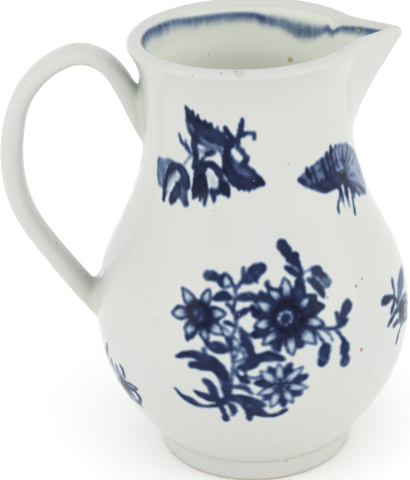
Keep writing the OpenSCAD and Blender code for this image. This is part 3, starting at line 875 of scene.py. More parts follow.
    # Leaves at the foot of the stems.
    for points in (
            ((-10.1, -1.9, 0.5), (-7.8, -2.1, 2.2), (-5.5, -2.5, 0.6)),
            ((-6.2, -12.8, 1.6), (-6.6, -10, 1.8), (-7.2, -7.6, 2.4), (-8.9, -5.7, 2.9),
             (-11.2, -4.4, 1.9),
             (-14.0, -4.3, 1.3), (-16.6, -5.4, 0.4)),
            ((-9, -6.1, 2.0), (-11, -6.2, 1.6), (-13.2, -6.3, 1.3)),
            ((-10.6, -2.9, 0.9), (-10.2, -4.2, 1.3)),
            ((-8.2, -14, 0.6), (-8.9, -11.9, 1.7), (-9.6, -10.2, 1.4), (-10.9, -9.1, 0.6)),
            ((-8.4, -13.7, 0.5), (-10.5, -13.1, 1.5), (-12.8, -12.2, 0.6)),
            ((-6.8, -13.6, 1.6), (-7.8, -14.5, 1.0), (-9.5, -15.3, 0.6), (-11.5, -15.6, 0.7),
             (-13.8, -14.7, 1.5), (-15.8, -13.8, 0.7), (-17.1, -12.6, 0.4)),
            ((-7.8, -14.9, 0.8), (-7.1, -16.5, 1.0), (-6.7, -18.6, 1.1)),
            ((-5.9, -14.1, 0.6), (-5.2, -15.6, 1.4), (-5.4, -17.4, 0.5)),
            ((-6.4, -12.9, 1.6), (-3.6, -13.1, 2.2), (-1.6, -14.8, 3.0), (0.4, -16.9, 1.5),
             (2.4, -17.5, 0.9),
             (4.9, -16.3, 0.8)),
            ((-2, -15.5, 1.5), (-2.1, -18.4, 0.8)), ((-2.4, -13.2, 2.0), (0.7, -14.6, 1.1))):
        stroke(*points)
    wash((-14.2, -14.5, 0.3), (-13.0, -14.9, 0.3), depth=0.5)
    wash((1.6, -17.1, 0.25), (3.6, -16.8, 0.3), depth=0.4)


def bell_spray(brush):
    """Two hanging bells under a broad toothed leaf, with a second leaf on the right."""
    stroke, wash = brush.stroke, brush.wash
    # The upper leaf, thin along its lower side and toothed above.
    stroke((-3.5, 6.6, 0.5), (-3.2, 4.8, 1.2), (-2.5, 3.0, 1.7), (-1.2, 1.9, 1.9), (0.6, 1.1, 1.8),
           (2.8, 0.9, 1.2), (4.4, 0.9, 0.8), depth=0.74)
    stroke((-3.6, 7.7, 0.6), (-2.9, 6.2, 1.4), (-1.6, 4.7, 2.3), (0.3, 3.5, 2.9), (2.6, 2.3, 2.5),
           (4.8, 1.2, 1.0),
           depth=0.98)
    for x, y in ((-2.1, 7.2), (-1.1, 6.4), (0.3, 5.5), (1.4, 4.9), (2.7, 4.3), (3.5, 3.2)):
        stroke((x, y, 0.35), (x - 0.15, y - 1.5, 1.1), depth=0.96)
    wash((-2.7, 4.4, 0.3), (-2.1, 3.2, 0.4), (-1.5, 2.5, 0.3), depth=0.42)
    wash((-0.4, 1.2, 0.3), (0.8, 0.8, 0.4), (2.2, 0.6, 0.3), depth=0.40)
    stroke((-5.6, 1.9, 0.4), (-5.0, 0.4, 0.9), (-3.9, -0.6, 1.1), (-3.2, -1.6, 0.6), depth=0.8)
    stroke((-4.1, 0.9, 0.4), (-3.9, -0.2, 0.8), depth=0.75)
    stroke((-1.8, 2.5, 1.1), (-2.2, 0, 1.1), (-2.0, -2, 0.9), (-2.5, -4.4, 0.8), depth=0.9, teeth=0.2)
    stroke((-1.7, -0.2, 0.7), (-1.5, -2.8, 0.4), depth=0.85)
    stroke((-3, -2, 0.6), (-4.6, -4.1, 0.5), depth=0.5)
    stroke((-1.3, -0.4, 0.8), (-0.4, -0.9, 1.3), (0.6, -0.4, 1.0), (2.0, -0.2, 0.9), (3.6, -0.2, 0.8),
           depth=0.42)
    stroke((0.2, -1.5, 0.9), (0.9, -1.1, 1.1), (1.9, -0.7, 0.8), depth=0.97)
    stroke((2.9, -0.2, 0.6), (3.3, -1.2, 0.4), depth=0.7)
    stroke((0.3, -1.6, 0.7), (-0.5, -2.3, 0.7), (-0.7, -3.2, 0.9), depth=0.8)
    # Left bell and the wash behind it.
    stroke((-11.2, -5.6, 2.2), (-11.2, -7.4, 2.6), (-11.0, -9.2, 2.0), depth=0.56)
    stroke((-10.2, -5.3, 1.6), (-8.8, -4.8, 1.3), (-7.4, -4.4, 0.8), depth=0.52)
    stroke((-9.9, -6.6, 1.6), (-10.0, -8.8, 1.4), depth=0.40)
    stroke((-9.7, -12.5, 0.7), (-9.6, -9.4, 0.8), (-8.5, -6.4, 1.2), (-6.4, -4.9, 1.5),
           (-4.6, -6.2, 2.0),
           (-4.2, -8.2, 1.8), depth=1.0)
    stroke((-4.7, -7.6, 2.2), (-4.9, -9.6, 2.2), (-4.0, -11.7, 1.3), depth=0.84)
    stroke((-9.2, -10.6, 1.2), (-8.6, -8.4, 1.4), (-7.2, -6.6, 1.2), depth=0.50)
    wash((-8.6, -10.2, 0.6), (-7.8, -8.3, 1.0), (-6.6, -7.2, 0.9), (-6.0, -6.8, 0.5), depth=0.16)
    stroke((-6.0, -8.4, 1.0), (-6.6, -10.4, 2.0), (-7.6, -12.1, 1.4), depth=0.97)
    # Right bell with its hanging points.
    stroke((-2.0, -9.6, 1.2), (-1.8, -7, 1.6), (-0.9, -4.4, 1.9), (0.6, -3.2, 1.3), (2.3, -4.1, 1.4),
           (3.3, -6.2, 1.4), (3.9, -8.2, 1.6), depth=1.0)
    stroke((-0.6, -5.6, 1.5), (-0.5, -9, 2.2), depth=1.0)
    stroke((2.9, -8.0, 1.4), (1.6, -8.8, 1.2), depth=0.95)
    for x, y in ((-2.4, -10.4), (-0.9, -10.4), (0.1, -11.3), (1.9, -10.5), (4.6, -9.2)):
        stroke((x * 0.9, y + 2.0, 1.3), (x, y, 0.45), depth=1.0)
    wash((0.6, -5.0, 0.7), (1.3, -5.9, 1.3), (1.8, -6.8, 1.5), (2.0, -7.5, 0.8), depth=0.13)
    stroke((1.4, -5.4, 0.3), (1.8, -6.8, 0.35), depth=0.34)
    wash((3.4, -4.4, 0.5), (3.6, -6.0, 0.6), depth=0.6)
    # Right leaf, toothed below, and its twigs.
    stroke((5.2, -1.6, 1.0), (6.0, -3.6, 2.4), (7.8, -5.0, 2.6), (9.2, -5.8, 1.6), depth=0.78)
    stroke((4.7, 1.2, 0.9), (4.2, -1.2, 1.1), (4.4, -3.8, 1.4), (5.8, -5.9, 1.9), (8.2, -6.6, 2.2),
           (9.8, -6.6, 1.6), (11.0, -6.8, 0.4), depth=1.0, teeth=0.4)
    stroke((7.3, -2.8, 1.2), (8.5, -3.8, 1.1), (9.6, -5.0, 1.0), (10.7, -6.5, 0.7), depth=0.95)
    for x, y in ((5.5, -7.1), (6.6, -7.9), (7.6, -8.0), (8.5, -8.2), (9.5, -7.8)):
        stroke((x - 0.3, y + 1.6, 1.2), (x, y, 0.35), depth=0.97)
    wash((5.7, -3.0, 0.3), (6.6, -4.6, 0.4), depth=0.50)
    stroke((6.4, 0.6, 1.0), (7.5, -0.8, 1.0), (7.9, -1.8, 1.1), (7.1, -3.0, 1.0), depth=0.92)
    stroke((6.4, 0.8, 0.9), (6.5, 2.6, 0.9), (7.1, 4.4, 0.9), (7.4, 6.2, 0.4), depth=0.84)
    stroke((6.6, 2.9, 0.7), (8.2, 3.3, 0.7), (9.4, 3.2, 0.7), (9.4, 2.2, 0.6), depth=0.88)
    stroke((4.2, 4.6, 0.5), (4.7, 3.2, 1.1), (5.6, 1.9, 0.9), (5.4, 0.8, 0.8), depth=0.95)


def fan_leaf(brush):
    """A pleated leaf and a paler wing that open from one root, with threads hanging from it."""
    stroke, wash = brush.stroke, brush.wash
    stroke((1.6, 3.6, 4.8), (4, 2.8, 5.8), (7, 0.2, 7.4), (10, -2.6, 8.0), (12.6, -5.0, 5.6), depth=0.40)
    stroke((-6.8, 1.8, 1.3), (-5.0, 1.7, 3.4), (-2.6, 1.8, 5.0), (0.2, 1.8, 6.6), (1.8, 1.8, 6.6),
           depth=0.66, teeth=0.35)
    stroke((-5.4, 0.3, 0.8), (-2.5, -0.7, 1.9), (0.5, -0.8, 2.6), (2.8, -0.9, 2.0), (4.4, -0.8, 1.2),
           depth=0.98, teeth=0.25)
    root = np.array((2.8, -0.9))
    for tip, width, depth in (
            ((0.6, 6.4), 1.0, 0.9), ((2.2, 6.2), 0.7, 0.78), ((3.6, 5.8), 0.7, 0.84),
            ((5.0, 5.4), 0.8, 0.76),
            ((7.2, 4.2), 0.8, 0.74), ((9.4, 2.6), 0.8, 0.66), ((11.4, 0.4), 0.8, 0.66),
            ((12.6, -3.4), 0.8, 0.60), ((12.4, -7.4), 1.0, 0.72), ((8.8, -6.4), 1.2, 0.80)):
        middle = root + (np.array(tip) - root) * 0.5 + (0.3, 0.2)
        stroke((*root, 0.8), (*middle, width), (*tip, width * 0.5), depth=depth)
    for start, end, width in (((1.3, 4.6), (1.9, 3.2), 0.45), ((2.5, 4.8), (3.0, 3.0), 0.45),
                              ((3.0, 2.4), (4.0, 1.0), 0.6), ((2.0, 1.4), (2.9, 0.8), 0.6),
                              ((5.1, 4.2), (5.3, 2.8), 0.5), ((3.7, 4.8), (4.1, 3.4), 0.4),
                              ((7.5, -0.4), (11.5, -3.6), 1.0)):
        wash((*start, width), (*end, width * 0.7), depth=0.24)
    for k in range(12):
        x = -6.0 + 0.62 * k
        high = 3.0 + 0.26 * k
        wash((x + 0.5, 0.5, 0.25), (x + 0.1, high * 0.6, 0.34), (x - 0.35, high, 0.2),
             depth=(0.46, 0.9)[k % 2])
    for x, low, high, depth in ((-5.3, 1.2, 3.8, 0.98), (-1.5, 0.8, 4.8, 1.0),
                                (-0.2, 0.6, 5.5, 0.9), (1.0, 0.4, 5.6, 0.9)):
        stroke((x + 0.6, low, 0.7), (x, (low + high) / 2, 0.9), (x - 0.4, high, 0.5), depth=depth)
    for x, y in ((-4.3, 0.9), (-2.5, 1.2), (-3.0, 3.0), (-5.0, 0.6)):
        wash((x, y, 0.4), (x - 0.3, y + 0.9, 0.3), depth=0.36)
    stroke((-7.3, 2.0, 0.9), (-6.6, 1.3, 0.9), depth=1.0)
    for points, depth in (
            (((2, -1.5, 0.9), (1.7, -3.8, 0.7), (0.5, -5.4, 0.5), (0.2, -6.8, 0.4)), 0.78),
            (((2, -2.5, 0.9), (2.2, -4.6, 0.8), (2.2, -6.2, 0.4)), 0.78),
            (((3.8, -1.6, 1.0), (3.8, -5, 0.9), (3.7, -7, 0.4)), 0.82),
            (((5.3, -1.6, 1.0), (5.7, -5.2, 0.7), (5.2, -7.2, 0.5), (4.7, -8.8, 0.4)), 0.72),
            (((6.2, -3.0, 1.0), (6.4, -5.9, 0.5)), 0.72)):
        stroke(*points, depth=depth)
    wash((3.9, -5.4, 0.5), (3.7, -7.0, 0.5), depth=0.34)


def beak_spray(brush):
    """A sprig that reaches round under the beak."""
    stroke, petal = brush.stroke, brush.petal
    for base, tip in (((2.6, -1.6), (8.8, -1.2)), ((2.6, -2.2), (9.2, -6.6)),
                      ((2.8, -1.9), (9.8, -3.9))):
        petal(base, tip, 2.3, inside=0.3, depth=0.75)
    stroke((2.4, 0.4, 1.0), (4.6, 2.0, 3.0), (7.5, 3.0, 3.0), (9.8, 3.9, 0.8), depth=0.6)
    stroke((-4.1, 2.8, 0.8), (-2.8, 2.9, 1.7), (-1.4, 2.7, 1.4), (0, 2.3, 0.8), (1.3, 1.2, 0.8),
           (2.2, 0, 1.0))
    stroke((-1.3, -0.3, 1.0), (-0.2, 0.5, 0.9), (1.2, 1.4, 0.5))
    stroke((2.1, 5.3, 0.5), (1.5, 3.8, 1.1), (1.3, 2.2, 0.6), depth=0.72)
    stroke((-3.3, -2.3, 0.7), (-1.5, -1.7, 0.7), (1.2, -1.2, 1.1), (2.6, -1.6, 1.0))
    stroke((-1.2, -3.5, 0.6), (0.4, -3.4, 1.2), (2.4, -4.2, 0.8), (3.4, -5.2, 0.5), depth=0.68)
    stroke((0.1, -8, 0.6), (1.0, -6.7, 0.8), (2.5, -5.6, 0.9), (5.5, -5.2, 0.8), depth=0.62)


def low_spray(brush):
    """A flower and leaves low on the belly beside the handle."""
    stroke = brush.stroke
    stroke((-8.6, -4.0, 0.8), (-7.6, 0.6, 2.0), (-6.0, 4.2, 0.6), depth=0.55)
    stroke((-3.4, -3.0, 0.6), (-5.0, -1.0, 1.8), (-4.6, 1.2, 0.5), depth=0.6)
    stroke((-9.5, -11.6, 0.8), (-7.0, -9.0, 1.8), (-3.4, -6.2, 0.6), depth=0.6)
    stroke((-8.6, -4.0, 0.6), (-6.8, -5.6, 0.4), (-3.6, -6.4, 0.4), (-2.4, -5.2, 0.4), depth=0.6)
    star_flower(brush, (-1.6, -3.8), (
        ((-2.2, -4.6), (-6.2, -5.4), 1.9), ((-1.8, -5.0), (-2.6, -9.0), 2.2),
        ((-1.6, -3.2), (-2.6, 0.6), 1.8),
        ((-1.2, -4.6), (2.6, -7.6), 2.6), ((-1.0, -3.4), (4.2, -1.8), 1.9)), 2.0, 0.85)
    stroke((1.6, -2.9, 0.6), (3.3, -3.5, 0.9), (3.9, -4.3, 0.9), (3.2, -5.8, 1.0), (2.0, -6.9, 1.0),
           (0.8, -7.2, 0.8), depth=0.82)
    stroke((-0.3, 1.7, 0.7), (0.4, 1.0, 0.9), (0.2, -0.4, 0.8), (-0.1, -1.8, 0.5), depth=0.85)


# Brushed line inside the rim: azimuth in degrees, then its upper and lower edges, in
# millimetres down from the lip. The glaze has carried it down between CARRIED's azimuths.
CARRIED = (27, 84)
BORDER = ((0, -0.6, 1.3), (10, -0.3, 1.8), (20, 0.3, 2.0), (24, 1.2, 2.8), (26, 1.7, 3.5),
          (31, 0.8, 3.3),
          (41, 1.6, 5.0), (53, 1.5, 6.0), (66, 1.25, 4.8), (76, 1.1, 3.9), (82, 0.75, 2.8),
          (91, 0.7, 2.9),
          (110, 0.6, 3.0), (130, 0.1, 2.5), (146, -0.4, 2.3), (166, -0.8, 1.7), (180, -0.9, 1.5))


def rim_border(skin):
    """A brushed line inside the rim, feathered where the glaze has carried it down."""
    form = skin.form
    rows = np.nonzero((skin.stations > LIP + 0.6) & (skin.stations < INSIDE + 0.2))[0]
    station = skin.stations[rows]
    down = np.where(station < INSIDE, (station - INSIDE) * math.pi * form.lip_round,
                    (station - INSIDE) * (form.lip_z - form.turn_z))[:, None]
    turned = np.degrees(np.abs(skin.azimuths))
    azimuth, top, bottom = np.array(BORDER).T
    top, bottom = np.interp(turned, azimuth, top), np.interp(turned, azimuth, bottom)
    around = skin.azimuths
    drift = waves(np.cos(around) * 9, np.sin(around) * 9, 0, 12, 9, 0.7, 3.0)
    hairs = waves(np.cos(around) * 42, np.sin(around) * 42, 0, 13, 12, 0.6, 2.2)
    wide = bottom - top
    top = top + 0.05 * drift * wide
    bottom = bottom + (0.07 * drift + 0.02 * hairs) * wide
    share = (down - top) / (bottom - top)
    body = ease((share + 0.24) / 0.62) * (1 - ease((share - 0.36) / 1.10))
    carried = ease((CARRIED[1] - turned) / 18) * ease((turned - CARRIED[0]) / 8)
    heavy = np.exp(-((share - 0.20 - 0.42 * carried) / (0.20 + 0.12 * carried)) ** 2)
    hatch = waves(around * 60, down * 1.1, 0, 14, 14, 0.5, 3.0)
    strength = (0.51 + 0.05 * drift + 0.02 * hairs + (0.05 - 0.025 * carried) * hatch
                - 0.13 * carried)
    tone = body * strength * (0.55 + 0.60 * heavy)
    skin.ink[rows] = np.maximum(skin.ink[rows], np.clip(tone, 0, 1))


PAINTED_RADIUS = 28                # radius of the wall in the middle of the painting
BLEED_CELLS = 3                    # cells either way that a cell's colour creeps


def bleed(skin, distance):
    """Softens the painting's edges, as cobalt creeps in the glaze."""
    cell = FULL_TURN * PAINTED_RADIUS / skin.columns
    reach = np.arange(-BLEED_CELLS, BLEED_CELLS + 1)
    weight = np.exp(-0.5 * (reach * cell / distance) ** 2)
    weight /= weight.sum()
    ink = skin.ink
    ink = sum(w * np.roll(ink, k, 1) for k, w in zip(reach, weight))
    padded = np.pad(ink, ((BLEED_CELLS, BLEED_CELLS), (0, 0)), mode="edge")
    crept = sum(w * padded[BLEED_CELLS + k:BLEED_CELLS + k + len(ink)]
                for k, w in zip(reach, weight))
    skin.ink = crept.astype(np.float32)


# What is painted where: motif, azimuth in degrees, height.
SPRAYS = ((bouquet, -90, 40), (bell_spray, -115, 74), (fan_leaf, -45, 65), (beak_spray, -30, 37),
          (low_spray, -148, 25))
FAR_WANDER = 0.35                  # how far the strokes of the +Y side stray, in millimetres


def paint_jug(skin, settings):
    """Paints the -Y side and, the other way round and a little differently, the +Y side."""
    for motif, azimuth, z in SPRAYS:
        for side, wander in ((1, 0.0), (-1, FAR_WANDER)):
            brush = Brush(skin, azimuth * side, z, side, wander)
            motif(brush)
            brush.done()
    rim_border(skin)
    bleed(skin, settings.paint.bleed / MM)


# ---- materials ---------------------------------------------------------------


def feed(socket, value):
    """Joins another node's socket to an input, or sets the input's own value."""
    if isinstance(value, bpy.types.NodeSocket):
        socket.id_data.links.new(value, socket)
    else:
        socket.default_value = value


def node_maker(tree):
    """A short way to add a node to a tree, with its inputs and its settings."""
    def node(kind, inputs=(), **settings):
        made = tree.nodes.new(kind)
        for key, value in settings.items():
            setattr(made, key, value)
        for key, value in dict(inputs).items():
            feed(made.inputs[key], value)
        return made
    return node


def new_material(name):
    """A material with its tree, its Principled shader and a way to add nodes."""
    material = bpy.data.materials.new(name)
    material.use_nodes = True
    tree = material.node_tree
    return material, tree, tree.nodes["Principled BSDF"], node_maker(tree)


def solid(colour_value):
    return (*colour_value, 1.0)


# Sockets of a Mix node by their place in its list, where all kinds of value share their names.
MIX_FACTOR, MIX_A, MIX_B, MIX_RESULT = 0, 6, 7, 2
FLOAT_A, FLOAT_B, FLOAT_RESULT = 2, 3, 0


def mixed(node, factor, first, second):
    """The Result socket of a mix of two colours, each a socket or a plain colour."""
    first, second = (value if isinstance(value, bpy.types.NodeSocket) else solid(value)
                     for value in (first, second))
    mix = node("ShaderNodeMix", {MIX_FACTOR: factor, MIX_A: first, MIX_B: second},
               data_type="RGBA")
    return mix.outputs[MIX_RESULT]


def calculated(node, operation, *values, clamp=False):
    return node("ShaderNodeMath", enumerate(values), operation=operation,
                use_clamp=clamp).outputs[0]


def noise(node, place, scale, detail=2.0, roughness=0.5):
    return node("ShaderNodeTexNoise", inputs={
        "Vector": place, "Scale": scale, "Detail": detail, "Roughness": roughness}).outputs["Fac"]


def spread(node, value, low, high, start=0.0, end=1.0):
    return node("ShaderNodeMapRange", interpolation_type="SMOOTHSTEP", inputs={
        "Value": value, "From Min": low, "From Max": high, "To Min": start, "To Max": end}
    ).outputs["Result"]


# Colours of the marks of wear and kiln dirt.
GREY, BROWN, YELLOW = (0.10, 0.10, 0.09), (0.16, 0.085, 0.035), (0.46, 0.37, 0.02)
RUST = (0.36, 0.10, 0.02)


def marks_of(form):
    """Each mark as its place in millimetres, radius, colour and strength."""
    outside, inside = form.station_outside, form.station_inside
    # Azimuth in degrees, station, radius in millimetres, colour and strength.
    placed = ((-51.5, outside(33.1), 0.62, RUST, 0.75), (-62.5, outside(45.25), 0.34, GREY, 0.8),
              (-97, LIP + 0.40, 0.40, BROWN, 0.55), (-103.5, LIP + 0.30, 0.32, BROWN, 0.45),
              (-95, LIP + 0.30, 1.3, BROWN, 0.14), (-117, LIP + 0.12, 0.34, BROWN, 0.35),
              (-71, outside(70.5), 0.24, GREY, 0.5), (-84, outside(12.4), 0.36, RUST, 0.35),
              (-128, outside(41.0), 0.24, GREY, 0.5), (118, outside(52.0), 0.36, RUST, 0.6),
              (59, inside(78.3), 0.85, YELLOW, 0.8), (11, inside(87.9), 0.55, YELLOW, 0.65),
              (-36, LIP + 0.50, 0.60, YELLOW, 0.5), (0, LIP + 0.35, 0.8, BROWN, 0.3))
    for azimuth, station, radius, tone, strength in placed:
        point = form.point(np.full(1, math.radians(azimuth)), np.full(1, station))[0]
        yield point, radius, tone, strength


GLAZE_IOR = 1.5
GLAZE_SPECULAR = 0.14              # specular level; the old glaze is soft and a little worn


def glaze_material(settings, name, warmth=0.0):
    """Glossy clear glaze over white porcelain, with cobalt beneath it and specks burnt into it."""
    glaze, paint = settings.glaze, settings.paint
    material, tree, shader, node = new_material(name)
    place = node("ShaderNodeTexCoord").outputs["Object"]
    cobalt = node("ShaderNodeAttribute", attribute_name="cobalt").outputs["Fac"]
    pool = node("ShaderNodeAttribute", attribute_name="pool").outputs["Fac"]

    broad = noise(node, place, 45.0, 3.0)
    fine = noise(node, place, 900.0, 2.0)
    white = Vector(glaze.white)
    warm = white + Vector((0.008, 0.003, -0.005)) + Vector((0.5, 0.0, -1.0)) * warmth
    cool = white + Vector((-0.008, -0.003, 0.003))
    ground = mixed(node, spread(node, broad, 0.35, 0.68), tuple(cool), tuple(warm))
    # Painted light: inside the jug the glaze takes the brighter, greener inside colour, standing in for
    # light bounced round the inside.
    ground = mixed(node, node("ShaderNodeAttribute", attribute_name="inside").outputs["Fac"],
                   ground, glaze.inner)
    ground = mixed(node, calculated(node, "MULTIPLY", pool, 0.85, clamp=True), ground, glaze.pooled)

    # The brush leaves the colour unevenly, and it thins out where the glaze has carried it off.
    streak = noise(node, place, 700.0, 3.0, 0.6)
    uneven = spread(node, streak, 0.25, 0.8, -0.10, 0.10)
    depth = calculated(node, "MULTIPLY_ADD", uneven, cobalt, cobalt)
    ramp = node("ShaderNodeValToRGB", inputs={"Fac": depth})
    stops = ramp.color_ramp.elements
    stops[0].position, stops[0].color = 0.18, solid(paint.pale)
    stops[1].position, stops[1].color = 0.97, solid(paint.dark)
    stops.new(0.40).color = solid(paint.thin)
    stops.new(0.62).color = solid(paint.middle)
    covered = spread(node, depth, 0.0, 0.26)
    painted = mixed(node, covered, ground, ramp.outputs["Color"])

    # Pin specks: the smallest cores of a cell pattern, thinned out by a second noise.
    cells = node("ShaderNodeTexVoronoi", inputs={"Vector": place, "Scale": 230.0})
    core = spread(node, cells.outputs["Distance"], 0.05, 0.11, 1.0, 0.0)
    rare = spread(node, noise(node, place, 160.0, 0.0), 0.62, 0.67)
    clear = calculated(node, "MULTIPLY_ADD", covered, -0.55, 0.55)
    specks = calculated(node, "MULTIPLY", calculated(node, "MULTIPLY", core, rare), clear)
    painted = mixed(node, specks, painted, glaze.speck)
    rough_edge = calculated(node, "MULTIPLY_ADD", noise(node, place, 2600.0), 0.0004, -0.0002)
    for point, radius, tone, strength in marks_of(Form(settings)):
        away = node("ShaderNodeVectorMath", operation="DISTANCE", inputs={
            0: place, 1: tuple(point * MM)}).outputs["Value"]
        away = calculated(node, "ADD", away, rough_edge)
        mark = spread(node, away, 0.35 * radius * MM, radius * MM, strength, 0.0)
        painted = mixed(node, mark, painted, tone)
    tree.links.new(painted, shader.inputs["Base Color"])

    gloss = spread(node, fine, 0.3, 0.7, glaze.roughness * 0.8, glaze.roughness * 1.3)
    tree.links.new(gloss, shader.inputs["Roughness"])
    shader.inputs["IOR"].default_value = GLAZE_IOR
    shader.inputs["Specular IOR Level"].default_value = GLAZE_SPECULAR
    skin = noise(node, place, 260.0, 2.0)
    bump = node("ShaderNodeBump", inputs={"Height": skin, "Strength": 0.12, "Distance": 0.00012})
    tree.links.new(bump.outputs["Normal"], shader.inputs["Normal"])
    return material


BARE_ROUGHNESS = 0.85


def foot_material(settings, land_z):
    """Glaze down to a worn edge, bare gritty clay on the resting face."""
    material = glaze_material(settings, "foot_ring_glaze", 0.01)
    tree = material.node_tree
    shader, node = tree.nodes["Principled BSDF"], node_maker(tree)
    place = node("ShaderNodeTexCoord").outputs["Object"]
    height = node("ShaderNodeSeparateXYZ", inputs={"Vector": place}).outputs["Z"]
    ragged = noise(node, place, 420.0, 3.0)
    edge = calculated(node, "MULTIPLY_ADD", ragged, -0.0007, height)
    bare = spread(node, edge, land_z * MM - 0.0005, land_z * MM - 0.0001, 1.0, 0.0)
    brown = spread(node, edge, land_z * MM - 0.0001, land_z * MM + 0.0004, 1.0, 0.0)
    grit = noise(node, place, 1500.0, 4.0, 0.7)
    clay = mixed(node, grit, tuple(0.8 * c for c in settings.glaze.bare), settings.glaze.bare)
    glazed = shader.inputs["Base Color"].links[0].from_socket
    stained = mixed(node, calculated(node, "MULTIPLY", brown, 0.30), glazed, settings.glaze.bare)
    tree.links.new(mixed(node, bare, stained, clay), shader.inputs["Base Color"])
    gloss = shader.inputs["Roughness"].links[0].from_socket
    rough = node("ShaderNodeMix", {MIX_FACTOR: bare, FLOAT_A: gloss, FLOAT_B: BARE_ROUGHNESS},
                 data_type="FLOAT")
    tree.links.new(rough.outputs[FLOAT_RESULT], shader.inputs["Roughness"])
    return material


def shared_glaze(settings):
    """The one glaze that the wall, beak, handle and slip are dipped in."""
    return bpy.data.materials.get("porcelain_glaze") or glaze_material(settings, "porcelain_glaze")


# ---- node trees that repeat or sweep --------------------------------------------


def new_tree(name, inputs):
    """A Geometry Nodes tree with the named inputs and one geometry output."""
    tree = bpy.data.node_groups.new(name, "GeometryNodeTree")
    tree.interface.new_socket("Geometry", in_out="INPUT", socket_type="NodeSocketGeometry")
    for label, kind, default in inputs:
        socket = tree.interface.new_socket(label, in_out="INPUT", socket_type=kind)
        if default is not None:
            socket.default_value = default
    tree.interface.new_socket("Geometry", in_out="OUTPUT", socket_type="NodeSocketGeometry")
    enter, leave = tree.nodes.new("NodeGroupInput"), tree.nodes.new("NodeGroupOutput")
    return tree, enter, leave, node_maker(tree)


def grown(source, tree, values, name):
    """The plain mesh that a tree makes from a source object, which is then removed."""
    modifier = source.modifiers.new(tree.name, "NODES")
    modifier.node_group = tree
    for item in tree.interface.items_tree:
        if item.in_out == "INPUT" and item.name in values:
            modifier[item.identifier] = values[item.name]
    depsgraph = bpy.context.evaluated_depsgraph_get()
    mesh = bpy.data.meshes.new_from_object(source.evaluated_get(depsgraph), depsgraph=depsgraph)
    mesh.name = name
    source.modifiers.remove(modifier)
    old = source.data
    bpy.data.objects.remove(source)
    bpy.data.meshes.remove(old)
    piece = bpy.data.objects.new(name, mesh)
    bpy.context.scene.collection.objects.link(piece)
    return piece


def turned_ring_tree():
    """Turns a closed outline of points (radius, 0, height) round the jug's axis."""
    tree, enter, leave, node = new_tree("turned_ring", [
        ("Segments", "NodeSocketInt", 96), ("Outline Points", "NodeSocketInt", 8),
        ("Glaze", "NodeSocketMaterial", None)])
    across = node("ShaderNodeMath", {0: enter.outputs["Segments"], 1: 1.0}, operation="ADD")
    grid = node("GeometryNodeMeshGrid", {"Size X": 1.0, "Size Y": 1.0,
                                         "Vertices X": across.outputs[0],
                                         "Vertices Y": enter.outputs["Outline Points"]})
    place = node("ShaderNodeSeparateXYZ", {0: node("GeometryNodeInputPosition").outputs[0]})
    angle = node("ShaderNodeMath", {0: place.outputs["X"], 1: -FULL_TURN}, operation="MULTIPLY")
    last = node("ShaderNodeMath", {0: enter.outputs["Outline Points"], 1: 1.0}, operation="SUBTRACT")
    share = node("ShaderNodeMath", {0: place.outputs["Y"], 1: 0.5}, operation="ADD")
    index = node("ShaderNodeMath", {0: share.outputs[0], 1: last.outputs[0]}, operation="MULTIPLY")
    nearest = node("ShaderNodeMath", {0: index.outputs[0]}, operation="ROUND")
    outline = node("GeometryNodeSampleIndex", {0: enter.outputs["Geometry"],
                                               "Index": nearest.outputs[0]},
                   data_type="FLOAT_VECTOR", domain="POINT")
    value = [socket for socket in outline.inputs if socket.name == "Value" and socket.enabled][0]
    tree.links.new(node("GeometryNodeInputPosition").outputs[0], value)
    turned = node("ShaderNodeVectorRotate", {"Vector": outline.outputs[0], "Angle": angle.outputs[0]},
                  rotation_type="Z_AXIS")
    swept = node("GeometryNodeSetPosition", {"Geometry": grid.outputs["Mesh"],
                                             "Position": turned.outputs[0]})
    closed = node("GeometryNodeMergeByDistance", {"Geometry": swept.outputs[0], "Distance": 1e-6})
    smooth = node("GeometryNodeSetShadeSmooth", {"Geometry": closed.outputs[0]})
    real = node("GeometryNodeRealizeInstances", {"Geometry": smooth.outputs[0]})
    glazed = node("GeometryNodeSetMaterial", {"Geometry": real.outputs[0],
                                              "Material": enter.outputs["Glaze"]})
    tree.links.new(glazed.outputs[0], leave.inputs[0])
    return tree


def speck_tree():
    """Scatters flat round specks over a surface, each lying along it."""
    tree, enter, leave, node = new_tree("burnt_specks", [
        ("Density", "NodeSocketFloat", 4000.0), ("Seed", "NodeSocketInt", 1),
        ("Smallest", "NodeSocketFloat", 0.4), ("Largest", "NodeSocketFloat", 1.0),
        ("Speck Radius", "NodeSocketFloat", 0.0002), ("Material", "NodeSocketMaterial", None)])
    points = node("GeometryNodeDistributePointsOnFaces", {
        "Mesh": enter.outputs["Geometry"], "Density": enter.outputs["Density"],
        "Seed": enter.outputs["Seed"]})
    speck = node("GeometryNodeMeshIcoSphere", {"Radius": enter.outputs["Speck Radius"],
                                               "Subdivisions": 2})
    flat = node("GeometryNodeTransform", {"Geometry": speck.outputs[0], "Scale": (1.0, 0.8, 0.16)})
    size = node("FunctionNodeRandomValue", data_type="FLOAT")
    tree.links.new(enter.outputs["Smallest"], size.inputs[2])
    tree.links.new(enter.outputs["Largest"], size.inputs[3])
    tree.links.new(enter.outputs["Seed"], size.inputs["Seed"])
    spots = node("GeometryNodeInstanceOnPoints", {
        "Points": points.outputs["Points"], "Instance": flat.outputs[0],
        "Rotation": points.outputs["Rotation"], "Scale": size.outputs[1]})
    real = node("GeometryNodeRealizeInstances", {"Geometry": spots.outputs[0]})
    smooth = node("GeometryNodeSetShadeSmooth", {"Geometry": real.outputs[0]})
    burnt = node("GeometryNodeSetMaterial", {"Geometry": smooth.outputs[0],
                                             "Material": enter.outputs["Material"]})
    tree.links.new(burnt.outputs[0], leave.inputs[0])
    return tree


# ---- the handle's form -----------------------------------------------------------

